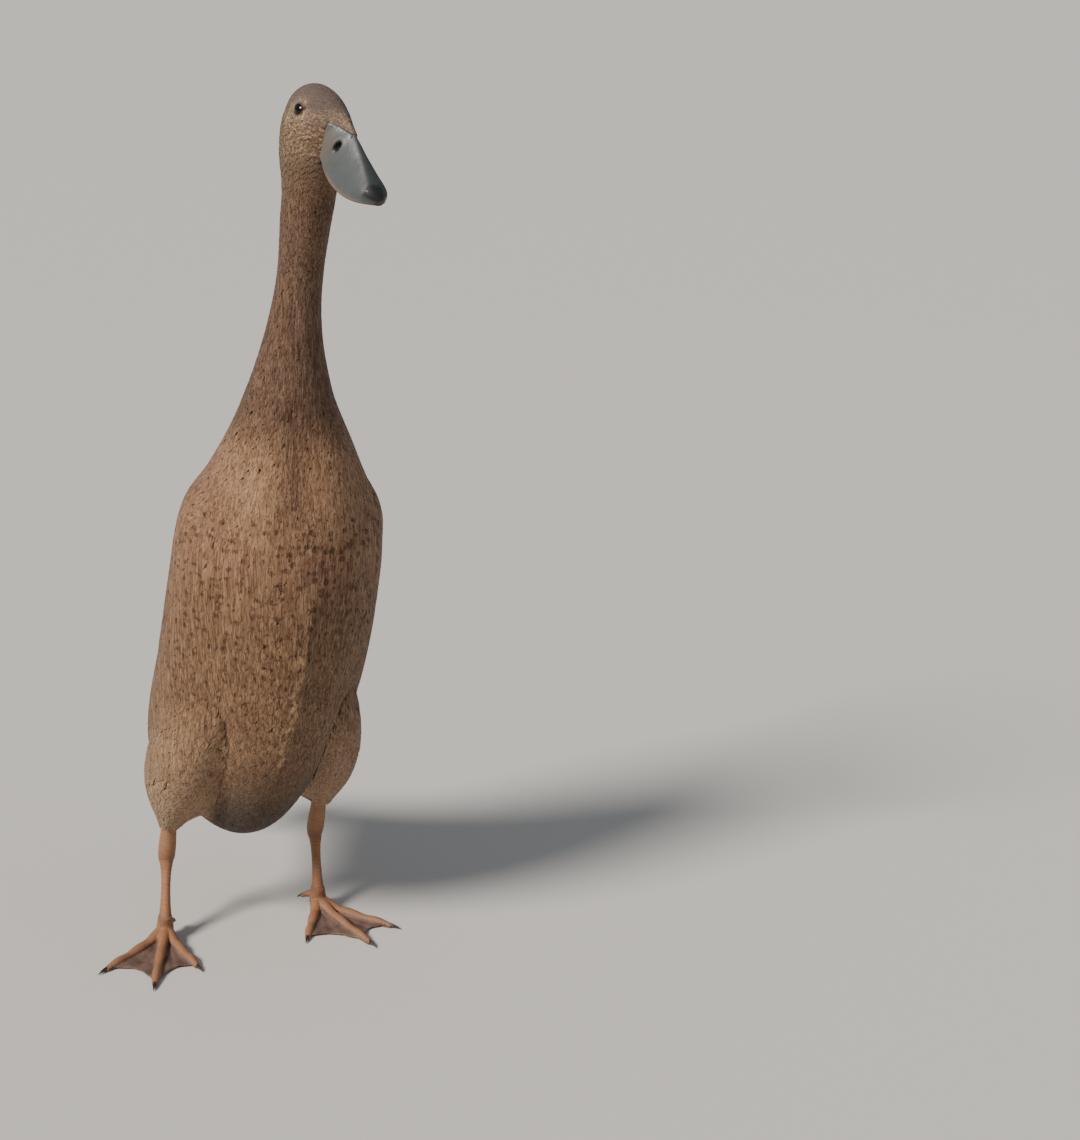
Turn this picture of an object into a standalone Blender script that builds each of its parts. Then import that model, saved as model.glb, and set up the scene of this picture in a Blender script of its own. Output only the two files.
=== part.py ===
"""A life-size Indian Runner duck, standing still, as a museum model.

Metres, +Z up. The duck faces -Y, so its left side is +X. Shapes are first placed in the
duck's own terms, (left, forward, up) from the floor point midway between its ankles, and
then moved so that the origin is the middle of the model's footprint.
"""
import math
import random

import bmesh
import bpy
import numpy as np
from mathutils import Vector

# Driving sizes
ORIGIN_LEFT = -0.003
ORIGIN_FORWARD = 0.006
BODY_HALF_WIDTH = 0.0645
NECK_HALF_WIDTH = 0.0150
HEAD_HALF_WIDTH = 0.0190
SIDE_LEAN = 0.011
SIDE_LEAN_HEIGHT = 0.35
HEAD_YAW = math.radians(18)
JOIN_GAP = 0.0003
EYE_RADIUS = 0.0062
SOLE_LEVEL = 0.0

# Body stations from tail to bill: name, back point and front point (forward, up), half width
STATIONS = (
    ("tail_tip", (-0.158, 0.094), (-0.152, 0.088), 0.30 * BODY_HALF_WIDTH),
    ("tail_end", (-0.124, 0.119), (-0.114, 0.102), 0.42 * BODY_HALF_WIDTH),
    ("tail_root", (-0.094, 0.144), (-0.074, 0.091), 0.56 * BODY_HALF_WIDTH),
    ("vent", (-0.075, 0.173), (-0.038, 0.079), 0.80 * BODY_HALF_WIDTH),
    ("belly_low", (-0.060, 0.203), (0.002, 0.078), 0.93 * BODY_HALF_WIDTH),
    ("hip", (-0.048, 0.233), (0.038, 0.101), 1.00 * BODY_HALF_WIDTH),
    ("belly", (-0.038, 0.263), (0.069, 0.146), 1.01 * BODY_HALF_WIDTH),
    ("ribs", (-0.029, 0.293), (0.088, 0.202), 1.01 * BODY_HALF_WIDTH),
    ("breast", (-0.017, 0.323), (0.099, 0.257), 1.00 * BODY_HALF_WIDTH),
    ("shoulder", (-0.002, 0.354), (0.102, 0.309), 0.96 * BODY_HALF_WIDTH),
    ("crop", (0.014, 0.386), (0.096, 0.357), 0.70 * BODY_HALF_WIDTH),
    ("neck_base", (0.033, 0.419), (0.091, 0.402), 2.05 * NECK_HALF_WIDTH),
    ("neck_low", (0.047, 0.455), (0.088, 0.446), 1.32 * NECK_HALF_WIDTH),
    ("neck_mid", (0.056, 0.495), (0.088, 0.487), 0.98 * NECK_HALF_WIDTH),
    ("neck_high", (0.067, 0.533), (0.100, 0.521), 1.03 * NECK_HALF_WIDTH),
    ("nape", (0.071, 0.569), (0.108, 0.544), 0.90 * HEAD_HALF_WIDTH),
    ("occiput", (0.076, 0.600), (0.113, 0.556), 1.02 * HEAD_HALF_WIDTH),
    ("crown", (0.095, 0.6165), (0.117, 0.5635), 1.00 * HEAD_HALF_WIDTH),
    ("forehead", (0.118, 0.6115), (0.1195, 0.5690), 0.72 * HEAD_HALF_WIDTH),
    ("bill_base", (0.1345, 0.5965), (0.1230, 0.5735), 0.36 * HEAD_HALF_WIDTH),
)
INDEX = {name: i for i, (name, *_) in enumerate(STATIONS)}
YAW_FROM, YAW_TO = INDEX["neck_mid"], INDEX["occiput"]
YAW_AXIS_FORWARD = 0.095
CHEEK_TAPER = 0.08

# Bill stations: ridge and mouth line (forward, up), and half width, from inside the face out
BILL = (
    ((0.1260, 0.5975), (0.1120, 0.5800), 0.0100),
    ((0.1338, 0.5962), (0.1190, 0.5745), 0.0104),
    ((0.1385, 0.5915), (0.1214, 0.5685), 0.0101),
    ((0.1435, 0.5858), (0.1258, 0.5628), 0.0098),
    ((0.1490, 0.5798), (0.1322, 0.5583), 0.0098),
    ((0.1545, 0.5740), (0.1402, 0.5553), 0.0102),
    ((0.1600, 0.5683), (0.1487, 0.5537), 0.0109),
    ((0.1650, 0.5632), (0.1565, 0.5528), 0.0110),
    ((0.1688, 0.5590), (0.1625, 0.5522), 0.0092),
    ((0.1708, 0.5560), (0.1668, 0.5517), 0.0060),
    ((0.1715, 0.5538), (0.1696, 0.5514), 0.0026),
)
LOWER_BILL_DEPTHS = (0.0040, 0.0042, 0.0042, 0.0040, 0.0036, 0.0032, 0.0028, 0.0022, 0.0016, 0.0011, 0.0008)
LOWER_BILL_SHARE = 0.84
BILL_ROUNDNESS = (1.6, 1.6, 1.45, 1.25, 1.05, 0.9, 0.8, 0.7, 0.62, 0.6, 0.6)
NOSTRIL_RING = 2
NOSTRIL_HEIGHT = 0.60
NOSTRIL_REACH = (0.0066, 0.0125)
NOSTRIL_SIZE = (0.0030, 0.0014)

# Ankle places (left, forward), and each toe's bearing from straight ahead and length
ANKLE_HEIGHT = 0.0155
HOCK_HEIGHT = 0.058
HOCK_BACK = 0.018
TROUSER_END = 0.088
FEET = {
    "right": {
        "ankle": (-0.058, 0.000),
        "toes": {"outer": (-58, 0.060), "middle": (-21, 0.068), "inner": (12, 0.050)},
    },
    "left": {
        "ankle": (0.061, -0.007),
        "toes": {"outer": (43, 0.062), "middle": (16, 0.067), "inner": (-28, 0.047)},
    },
}
SIDES = {"right": -1, "left": 1}

COLOURS = {
    "plumage": ((0.21, 0.125, 0.075, 1), 0.85),
    "wing": ((0.17, 0.105, 0.07, 1), 0.80),
    "tail": ((0.15, 0.095, 0.065, 1), 0.80),
    "bill": ((0.12, 0.15, 0.15, 1), 0.35),
    "eye": ((0.02, 0.012, 0.008, 1), 0.08),
    "leg": ((0.36, 0.16, 0.06, 1), 0.50),
    "web": ((0.20, 0.10, 0.07, 1), 0.50),
    "claw": ((0.03, 0.022, 0.018, 1), 0.40),
}


def clear_scene():
    for obj in list(bpy.data.objects):
        bpy.data.objects.remove(obj)


def paint(name):
    """The named material, made once."""
    found = bpy.data.materials.get(name)
    if found:
        return found
    colour, roughness = COLOURS[name]
    material = bpy.data.materials.new(name)
    material.use_nodes = True
    shader = material.node_tree.nodes["Principled BSDF"]
    shader.inputs["Base Color"].default_value = colour
    shader.inputs["Roughness"].default_value = roughness
    shader.inputs["Metallic"].default_value = 0.0
    return material


class Curve:
    """A natural cubic spline through rows of values at 0, 1, 2, ..."""

    def __init__(self, rows):
        self.rows = np.array(rows, float)
        count = len(self.rows)
        system = np.eye(count)
        right = np.zeros_like(self.rows)
        for i in range(1, count - 1):
            system[i, i - 1 : i + 2] = (1, 4, 1)
            right[i] = 6 * (self.rows[i - 1] - 2 * self.rows[i] + self.rows[i + 1])
        self.bends = np.linalg.solve(system, right)

    def at(self, u):
        i = int(min(max(math.floor(u), 0), len(self.rows) - 2))
        t = u - i
        a, b = self.rows[i], self.rows[i + 1]
        low, high = self.bends[i], self.bends[i + 1]
        return (
            a * (1 - t)
            + b * t
            + ((1 - t) ** 3 - (1 - t)) * low / 6
            + (t**3 - t) * high / 6
        )


BODY = Curve([[*back, *front, width] for _, back, front, width in STATIONS])


def smooth_step(x):
    x = min(max(x, 0.0), 1.0)
    return x * x * (3 - 2 * x)


def lean(point):
    """The point (left, forward, up) with the body's slight lean to its left leg."""
    left, forward, up = point
    return np.array([left + SIDE_LEAN * smooth_step(up / SIDE_LEAN_HEIGHT), forward, up])


def turn_head(point, share=1.0):
    """The point turned about the top of the neck by a share of the head's turn."""
    left, forward, up = point
    yaw = HEAD_YAW * share
    out = forward - YAW_AXIS_FORWARD
    return np.array(
        [
            left * math.cos(yaw) + out * math.sin(yaw),
            YAW_AXIS_FORWARD + out * math.cos(yaw) - left * math.sin(yaw),
            up,
        ]
    )


def on_body(u, angle, lift=0.0):
    """A point of the coat's outline at station u, at an angle from the back round to the left."""
    if lift:
        step_u, step_angle = 0.02, 0.02
        along = on_body(u + step_u, angle) - on_body(u - step_u, angle)
        around = on_body(u, angle + step_angle) - on_body(u, angle - step_angle)
        out = np.cross(around, along)
        return on_body(u, angle) + lift * out / np.linalg.norm(out)
    back_s, back_z, front_s, front_z, width = BODY.at(u)
    middle = np.array([0, (back_s + front_s) / 2, (back_z + front_z) / 2])
    reach = np.array([0, (back_s - front_s) / 2, (back_z - front_z) / 2])
    point = middle + math.cos(angle) * reach
    taper = CHEEK_TAPER * smooth_step(u - INDEX["neck_high"])
    point[0] += width * math.sin(angle) * (1 - taper * math.cos(angle))
    share = smooth_step((u - YAW_FROM) / (YAW_TO - YAW_FROM))
    return lean(turn_head(point, share))


def placed(point):
    """World place of a point given as (left, forward, up)."""
    left, forward, up = point
    return Vector((left - ORIGIN_LEFT, ORIGIN_FORWARD - forward, up))


def add_object(name, points, faces, material):
    """A closed mesh object with outward normals and smooth shading."""
    mesh = bpy.data.meshes.new(name)
    mesh.from_pydata([placed(p) for p in points], [], faces)
    shape = bmesh.new()
    shape.from_mesh(mesh)
    bmesh.ops.recalc_face_normals(shape, faces=shape.faces)
    shape.to_mesh(mesh)
    shape.free()
    mesh.materials.append(paint(material))
    mesh.shade_smooth()
    obj = bpy.data.objects.new(name, mesh)
    bpy.context.scene.collection.objects.link(obj)
    return obj


def loft(name, rings, material):
    """A closed solid through rings of equal count, each end closed by a fan to its middle."""
    sides = len(rings[0])
    points = [p for ring in rings for p in ring]
    faces = []
    for r in range(len(rings) - 1):
        for k in range(sides):
            nxt = (k + 1) % sides
            faces.append((r * sides + k, r * sides + nxt, (r + 1) * sides + nxt, (r + 1) * sides + k))
    for ring, start in ((rings[0], 0), (rings[-1], (len(rings) - 1) * sides)):
        points.append(np.mean(ring, axis=0))
        hub = len(points) - 1
        faces += [(start + k, start + (k + 1) % sides, hub) for k in range(sides)]
    return add_object(name, points, faces, material)


def body_rings(low, high, count, sides, lift=0.0):
    """Rings of the body's outline from station low to station high."""
    angles = [2 * math.pi * k / sides for k in range(sides)]
    return [
        [on_body(low + (high - low) * i / (count - 1), a, lift) for a in angles]
        for i in range(count)
    ]


def settle(obj):
    """Applies the object's modifiers, and keeps its largest closed surface."""
    graph = bpy.context.evaluated_depsgraph_get()
    mesh = bpy.data.meshes.new_from_object(obj.evaluated_get(graph))
    obj.modifiers.clear()
    obj.data = mesh
    shape = bmesh.new()
    shape.from_mesh(mesh)
    shape.verts.ensure_lookup_table()
    groups, seen = [], set()
    for vertex in shape.verts:
        if vertex.index in seen:
            continue
        group, queue = [], [vertex]
        seen.add(vertex.index)
        while queue:
            here = queue.pop()
            group.append(here)
            for edge in here.link_edges:
                other = edge.other_vert(here)
                if other.index not in seen:
                    seen.add(other.index)
                    queue.append(other)
        groups.append(group)
    largest = max(groups, key=len)
    keep = set(largest)
    bmesh.ops.delete(shape, geom=[v for v in shape.verts if v not in keep], context="VERTS")
    bmesh.ops.triangulate(shape, faces=shape.faces[:])
    drop_flat_pairs(shape)
    shape.to_mesh(mesh)
    shape.free()


def drop_flat_pairs(shape):
    """Removes pairs of triangles on the same three corners, which enclose nothing."""
    by_corners = {}
    for face in shape.faces:
        by_corners.setdefault(frozenset(v.index for v in face.verts), []).append(face)
    pairs = [face for faces in by_corners.values() if len(faces) > 1 for face in faces]
    if pairs:
        bmesh.ops.delete(shape, geom=pairs, context="FACES")


def boolean(obj, others, operation, solver="EXACT"):
    """Joins or cuts obj by the other closed objects, which are used up."""
    group = bpy.data.collections.new("pieces")
    for other in others:
        group.objects.link(other)
    modifier = obj.modifiers.new("pieces", "BOOLEAN")
    modifier.operation = operation
    modifier.operand_type = "COLLECTION"
    modifier.collection = group
    modifier.solver = solver
    settle(obj)
    for other in others:
        bpy.data.objects.remove(other)
    bpy.data.collections.remove(group)
    return obj


def tube(name, line, radii, material, sides=10, across=None):
    """A solid along a line of points, with an oval section: radii are (sideways, other way)."""
    line = [np.array(p, float) for p in line]
    rings = []
    for i, point in enumerate(line):
        ahead = line[min(i + 1, len(line) - 1)] - line[max(i - 1, 0)]
        ahead /= np.linalg.norm(ahead)
        side = np.array(across if across is not None else (1.0, 0.0, 0.0))
        side = side - ahead * (side @ ahead)
        side /= np.linalg.norm(side)
        other = np.cross(ahead, side)
        wide, deep = radii[i]
        rings.append(
            [
                point + side * wide * math.cos(t) + other * deep * math.sin(t)
                for t in (2 * math.pi * k / sides for k in range(sides))
            ]
        )
    return loft(name, rings, material)


def ball(name, centre, radius, material, rings=8, sides=12):
    """A closed sphere."""
    line, radii = [], []
    for i in range(rings + 1):
        tilt = math.pi * (i + 0.02) / (rings + 0.04)
        line.append(np.array(centre) + np.array([-radius * math.cos(tilt), 0, 0]))
        radii.append((radius * math.sin(tilt), radius * math.sin(tilt)))
    return tube(name, line, radii, material, sides, across=(0, 1, 0))


# Torso, neck and tail

TAIL_CUT = INDEX["tail_root"] - 0.3
TAIL_CORE_END = 0.95
NECK_CUT = INDEX["neck_base"] - 0.1
HEAD_CUT = INDEX["nape"] - 0.35
CUT_SHARE = 0.008


def torso_solid(name, lift=0.0):
    """The torso, or with a lift the slightly larger solid that clears its neighbours."""
    part = -CUT_SHARE if lift else CUT_SHARE
    return loft(name, body_rings(TAIL_CUT + part, NECK_CUT - part, 24, 26, lift), "plumage")


def tail_core(name, lift=0.0):
    """The fleshy end of the body that the tail feathers grow from."""
    part = -CUT_SHARE if lift else CUT_SHARE
    return loft(name, body_rings(TAIL_CORE_END, TAIL_CUT - part, 6, 20, lift), "tail")


def make_trunk():
    """Torso and neck, parted from each other and from the head by thin cuts."""
    torso_solid("torso")
    loft("neck", body_rings(NECK_CUT + CUT_SHARE, HEAD_CUT - CUT_SHARE, 15, 24), "plumage")


# Tail

# Tail tiers: how many vanes, length, width, spread of roots and tips to each side, depth of the
# outermost root and tip below the middle one, and (forward, up) of the middle root and tip
TAIL_TIERS = (
    ("tail_feathers", 11, 0.0165, (0.0150, 0.0300), (0.0055, 0.0110), (-0.098, 0.1215), (-0.155, 0.0985)),
    ("upper_coverts", 5, 0.0150, (0.0090, 0.0150), (0.0020, 0.0036), (-0.090, 0.1400), (-0.129, 0.1195)),
    ("under_coverts", 5, 0.0170, (0.0110, 0.0190), (-0.0030, -0.0050), (-0.092, 0.1010), (-0.134, 0.0955)),
)
TAIL_STEP = 0.00095


def tail_feathers():
    """Vanes of the tail in three tiers, the middle pair on top."""
    vanes = []
    for tier, count, width, spread, fall, root, tip in TAIL_TIERS:
        middle = (count - 1) / 2
        for i in range(count):
            place = (i - middle) / middle
            under = abs(i - middle) * TAIL_STEP * (-1 if tier == "under_coverts" else 1)
            start = np.array([place * spread[0], root[0], root[1] - fall[0] * place * place - under])
            end = np.array([place * spread[1], tip[0] + 0.013 * place * place, tip[1] - fall[1] * place * place - under])
            ahead = (end - start) / np.linalg.norm(end - start)
            side = np.cross(ahead, (0, 0, 1.0))
            side /= np.linalg.norm(side)
            roll = -place * math.radians(24)
            out = np.cross(side, ahead)
            out *= math.copysign(1.0, out[2])
            side, out = (
                side * math.cos(roll) * math.copysign(1.0, side[0]) + out * math.sin(roll),
                out * math.cos(roll) - side * math.sin(roll) * math.copysign(1.0, side[0]),
            )
            steps = 4
            centres, halves = [], []
            for k in range(steps + 1):
                t = k / steps
                sag = 0.0035 * math.sin(math.pi * t) * (1 if tier == "tail_feathers" else 0.4)
                centres.append(start + (end - start) * t + np.array([0, 0, sag]))
                round_end = (1 - max(0.0, (t - 0.5) / 0.5) ** 3.2) ** 0.5
                halves.append(max(width / 2 * min(0.6 + 1.2 * t, 1.0) * round_end, 0.0007))
            rows = steps + 1
            vanes.append(vane(tier, [lean(c) for c in centres], [side] * rows, [out] * rows, halves, 0.0, "tail"))
    return vanes


def make_tail():
    """Tail core with its feathers, cut clear of the torso."""
    tail = boolean(tail_core("tail"), tail_feathers(), "UNION")
    boolean(tail, [torso_solid("cover", JOIN_GAP)], "DIFFERENCE")


# Head

EYE_STATION = INDEX["crown"] + 0.10
EYE_ANGLE = math.radians(60)
EYE_DEPTH = 0.0050
LID_RADIUS = 0.0044
LID_THICKNESS = 0.0010
LID_SUNK = 0.0003


def eye_centre(side):
    return on_body(EYE_STATION, side * EYE_ANGLE, -EYE_DEPTH)


def eye_outward(side):
    out = on_body(EYE_STATION, side * EYE_ANGLE, 0.001) - on_body(EYE_STATION, side * EYE_ANGLE)
    return out / np.linalg.norm(out)


def ring_band(name, centre, axis, radius, thickness, material, around=14, section=5):
    """A closed ring, such as an eyelid rim, round an axis."""
    axis = axis / np.linalg.norm(axis)
    first = np.cross(axis, (0, 0, 1.0))
    first /= np.linalg.norm(first)
    second = np.cross(axis, first)
    points, faces = [], []
    for i in range(around):
        turn = 2 * math.pi * i / around
        out = first * math.cos(turn) + second * math.sin(turn)
        for j in range(section):
            roll = 2 * math.pi * j / section
            points.append(
                centre + out * (radius + thickness * math.cos(roll)) + axis * thickness * math.sin(roll)
            )
    for i in range(around):
        for j in range(section):
            a, b = i * section + j, i * section + (j + 1) % section
            c, d = ((i + 1) % around) * section + j, ((i + 1) % around) * section + (j + 1) % section
            faces.append((a, c, d, b))
    return add_object(name, points, faces, material)


def make_head():
    """Head with its eyelid rims and eye sockets."""
    low, high = HEAD_CUT + CUT_SHARE, INDEX["bill_base"]
    head = loft("head", body_rings(low, high, 15, 20), "plumage")
    lids = [
        ring_band(
            f"lid_{name}", eye_centre(side) + eye_outward(side) * (EYE_DEPTH - LID_SUNK),
            eye_outward(side), LID_RADIUS, LID_THICKNESS, "plumage",
        )
        for name, side in SIDES.items()
    ]
    boolean(head, lids, "UNION")
    sockets = [
        ball(f"socket_{name}", eye_centre(side), EYE_RADIUS + JOIN_GAP, "plumage")
        for name, side in SIDES.items()
    ]
    boolean(head, sockets, "DIFFERENCE")
    for name, side in SIDES.items():
        ball(f"eye_{name}", eye_centre(side), EYE_RADIUS, "eye")


# Bill

def bill_ring(i, upper, sides=14):
    """One ring of the upper bill, flat on the mouth line, or of the thin lower bill."""
    ridge, mouth = np.array(BILL[i][0]), np.array(BILL[i][1])
    half = BILL[i][2]
    rise = ridge - mouth
    tall = np.linalg.norm(rise)
    rise = rise / tall
    roundness = BILL_ROUNDNESS[i]
    ring = []
    for k in range(sides):
        turn = 2 * math.pi * (k + 0.5) / sides
        across, high = math.cos(turn), math.sin(turn)
        side = math.copysign(abs(across) ** roundness, across)
        if upper:
            up = JOIN_GAP / 2 + (tall * high if high > 0 else 0.0)
            wide = half * side
        else:
            up = -JOIN_GAP / 2 - (LOWER_BILL_DEPTHS[i] * -high if high < 0 else 0.0)
            wide = half * LOWER_BILL_SHARE * side
        s, z = mouth + rise * up
        ring.append(lean(turn_head((wide, s, z))))
    return ring


def nostril(side):
    """The oval recess of one nostril."""
    ridge, mouth = np.array(BILL[NOSTRIL_RING][0]), np.array(BILL[NOSTRIL_RING][1])
    s, z = mouth + (ridge - mouth) * NOSTRIL_HEIGHT
    spots = [(side * x, s, z) for x in NOSTRIL_REACH]
    ahead = np.array(BILL[NOSTRIL_RING + 1][0]) - ridge
    long_way = turn_head((0, YAW_AXIS_FORWARD + ahead[0], ahead[1])) - turn_head((0, YAW_AXIS_FORWARD, 0))
    line = [lean(turn_head(p)) for p in spots]
    return tube("nostril", line, [NOSTRIL_SIZE] * 2, "bill", 10, across=long_way)


def make_bill():
    """Upper and lower bill, cut clear of the head."""
    for name, upper in (("bill_upper", True), ("bill_lower", False)):
        bill = loft(name, [bill_ring(i, upper) for i in range(len(BILL))], "bill")
        low, high = INDEX["nape"], INDEX["bill_base"]
        cover = loft("head_cover", body_rings(low, high, 17, 24, JOIN_GAP), "plumage")
        boolean(bill, [cover], "DIFFERENCE")
        if upper:
            boolean(bill, [nostril(side) for side in SIDES.values()], "DIFFERENCE")


# Wings

WING_STATIONS = (9.55, 9.2, 8.2, 7.0, 5.8, 4.6, 3.4, 2.4, 1.6, 1.0)
WING_TOP_ANGLES = (66, 48, 34, 27, 22, 18, 17, 20, 28, 38)
WING_LOW_ANGLES = (82, 100, 108, 109, 104, 95, 84, 74, 64, 52)
WING_LIFTS = (0.0014, 0.0076, 0.0098, 0.0098, 0.0096, 0.0094, 0.0088, 0.0078, 0.0062, 0.0030)
WING_TABLE = Curve(list(zip(WING_STATIONS, WING_TOP_ANGLES, WING_LOW_ANGLES, WING_LIFTS)))
WING_NARROWEST = 14
WING_SUNK = 0.003
WING_SPREAD = {-1: 1.0, 1: 1.25}
SLAB_DEPTH = 0.0026
SLAB_EDGE = 0.0017
VANE_LOWEST = 0.0023
TIER_LEVELS = {"median_coverts": 0.0027, "greater_coverts": 0.0018, "tertials": 0.0014, "secondaries": 0.0007}
VANE_THICKNESS = 0.0006
VANE_TILT = 0.00112

# Tiers of the folded wing, from the shoulder to the tip: how many vanes, where along the wing
# the roots and tips of the first and last lie, the same across the wing, and the widest width
# as a share of their spacing
WING_TIERS = (
    ("median_coverts", 6, (0.17, 0.21), (0.40, 0.41), (0.16, 0.86), (0.10, 0.93), 1.16),
    ("greater_coverts", 6, (0.31, 0.34), (0.57, 0.55), (0.17, 0.85), (0.11, 0.95), 1.16),
    ("secondaries", 5, (0.46, 0.45), (0.80, 0.69), (0.40, 0.84), (0.36, 0.97), 1.18),
    ("tertials", 3, (0.43, 0.46), (0.86, 0.82), (0.16, 0.36), (0.08, 0.30), 1.45),
)
PRIMARY_COUNT = 4
PRIMARY_WIDTH = 0.0125


def wing_place(side, along, across, lift):
    """A point over the folded wing: along it from 0 to 1, across it from its upper edge, lifted."""
    u, top, low, _ = WING_TABLE.at(along * (len(WING_STATIONS) - 1))
    low = max(low, top + WING_NARROWEST)
    return on_body(u, side * math.radians(top + (low - top) * across), lift)


def wing_height(side, along, across):
    """How high the folded wing's outer surface stands over the body."""
    lift = WING_TABLE.at(along * (len(WING_STATIONS) - 1))[3] * WING_SPREAD[side]
    dome = math.sin(math.pi * min(max(across, 0.0), 1.0)) ** 0.6
    return 0.0012 + max(lift - 0.0009, 0.0) * dome


def wing_rings(side, last, count, depth, across=8):
    """Closed rings round the folded wing from its bend, sunk where feathers lie on it."""
    rings = []
    for i in range(count):
        along = last * i / (count - 1)
        sink = depth * smooth_step(along / 0.16)
        outer, inner = [], []
        for k in range(across + 1):
            share = k / across
            high = wing_height(side, along, share)
            outer.append(wing_place(side, along, share, max(high - sink, SLAB_EDGE)))
            inner.append(wing_place(side, along, share, -WING_SUNK))
        rings.append(outer + inner[::-1])
    return rings


def vane(name, centres, sides, outs, half_widths, tilt, material):
    """A thin feather vane: ring by ring, three points outside and three inside, split alike."""
    points = []
    for centre, side, out, half in zip(centres, sides, outs, half_widths):
        fullness = min(half / max(half_widths), 1.0)
        thick = VANE_THICKNESS * (0.55 + 0.45 * fullness)
        for share in (-1, 0, 1):
            camber = 0.06 * half * (1 - abs(share)) + tilt * share * 0.5 * fullness
            points.append(centre + side * half * share + out * camber)
        for share in (1, 0, -1):
            camber = 0.06 * half * (1 - abs(share)) + tilt * share * 0.5 * fullness
            points.append(centre + side * half * share + out * (camber - thick))
    faces = []
    rows = len(centres)
    for r in range(rows - 1):
        here, ahead = r * 6, (r + 1) * 6
        for k in (0, 1):
            faces += [(here + k, here + k + 1, ahead + k + 1), (here + k, ahead + k + 1, ahead + k)]
        for k in (3, 4):
            faces += [(here + k + 1, ahead + k, here + k), (here + k + 1, ahead + k + 1, ahead + k)]
        for k, nxt in ((2, 3), (5, 0)):
            faces.append((here + k, here + nxt, ahead + nxt, ahead + k))
    for start in (0, (rows - 1) * 6):
        for k in (0, 1):
            faces.append((start + k, start + k + 1, start + 4 - k, start + 5 - k))
    return add_object(name, points, faces, material)


def wing_vane(side, name, root, tip, width, root_depth, tip_depth, level, steps, pointed):
    """One feather of the folded wing, from its root to its tip (along, across) on the wing."""
    centres, sides, outs, halves = [], [], [], []
    for i in range(steps + 1):
        t = i / steps
        along = root[0] + (tip[0] - root[0]) * t
        across = root[1] + (tip[1] - root[1]) * t
        depth = tip_depth + (root_depth - tip_depth) * (1 - t) ** 1.5
        lift = max(wing_height(side, along, across) - depth, VANE_LOWEST + level * smooth_step(t * 1.6))
        centre = wing_place(side, along, across, lift)
        across_way = wing_place(side, along, across + 0.02, lift) - wing_place(side, along, across - 0.02, lift)
        out = wing_place(side, along, across, lift + 0.001) - wing_place(side, along, across, lift)
        centres.append(centre)
        sides.append(across_way / np.linalg.norm(across_way))
        outs.append(out / np.linalg.norm(out))
        round_end = (1 - max(0.0, (t - 0.5) / 0.5) ** (2.0 if pointed else 3.6)) ** 0.5
        halves.append(max(width / 2 * min(0.5 + 1.6 * t, 1.0) * round_end, 0.0007))
    return vane(name, centres, sides, outs, halves, -VANE_TILT, "wing")


def wing_feathers(side):
    """All vanes of one folded wing, tier by tier."""
    draw = random.Random(11 + side)
    vanes = []
    for tier, count, roots, tips, root_across, tip_across, share in WING_TIERS:
        for i in range(count):
            t = i / (count - 1)
            root = (roots[0] + (roots[1] - roots[0]) * t, root_across[0] + (root_across[1] - root_across[0]) * t)
            tip = (tips[0] + (tips[1] - tips[0]) * t, tip_across[0] + (tip_across[1] - tip_across[0]) * t)
            tip = (tip[0] + draw.uniform(-0.008, 0.008), tip[1] + draw.uniform(-0.007, 0.007))
            middle = (root[0] + 2 * tip[0]) / 3
            ends = [wing_place(side, middle, a, 0.004) for a in tip_across]
            spacing = np.linalg.norm(ends[1] - ends[0]) / (count - 1)
            upper = 0.0 if tier == "tertials" else 0.0003
            vanes.append(
                wing_vane(
                    side, tier, root, tip, spacing * share,
                    0.0038 + upper, 0.0002 + upper, TIER_LEVELS[tier], 4, False,
                )
            )
    for i in range(PRIMARY_COUNT):
        t = i / (PRIMARY_COUNT - 1)
        root = (0.60, 0.42 + 0.10 * t)
        tip = (0.92 + 0.13 * t, 0.42 + 0.22 * t + draw.uniform(-0.02, 0.02))
        level = 0.0016 + 0.00095 * i
        vanes.append(
            wing_vane(
                side, "primary", root, tip, PRIMARY_WIDTH, 0.0044 + 0.0004 * i, level,
                0.0009 * (PRIMARY_COUNT - 1 - i), 5, True,
            )
        )
    return vanes


def make_wings():
    """Folded wings: a thin body under tiers of overlapping feathers."""
    for name, side in SIDES.items():
        wing = loft(f"wing_{name}", wing_rings(side, 0.80, 11, SLAB_DEPTH), "wing")
        boolean(wing, wing_feathers(side), "UNION")
        boolean(wing, [torso_solid("cover", JOIN_GAP)], "DIFFERENCE")
        boolean(wing, [tail_core("cover", JOIN_GAP)], "DIFFERENCE")
        boolean(wing, [loft("cover", thigh_rings(name, THIGH_GAP), "plumage")], "DIFFERENCE")


# Legs

def ankle(side_name):
    left, forward = FEET[side_name]["ankle"]
    return np.array([left, forward, ANKLE_HEIGHT])


def hock(side_name):
    left, forward = FEET[side_name]["ankle"]
    shift = 0.006 if side_name == "right" else 0.003
    return np.array([left + shift, forward - HOCK_BACK, HOCK_HEIGHT])


THIGH_GAP = 0.0004
THIGH_LEVELS = (0.0, 0.10, 0.24, 0.42, 0.62, 0.82, 1.0)
THIGH_WIDE = (0.0098, 0.0142, 0.0212, 0.0268, 0.0280, 0.0225, 0.0080)
THIGH_DEEP = (0.0105, 0.0180, 0.0280, 0.0365, 0.0390, 0.0320, 0.0120)
THIGH_TOP = {"right": np.array([-0.028, 0.036, 0.190]), "left": np.array([0.040, 0.036, 0.190])}


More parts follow.
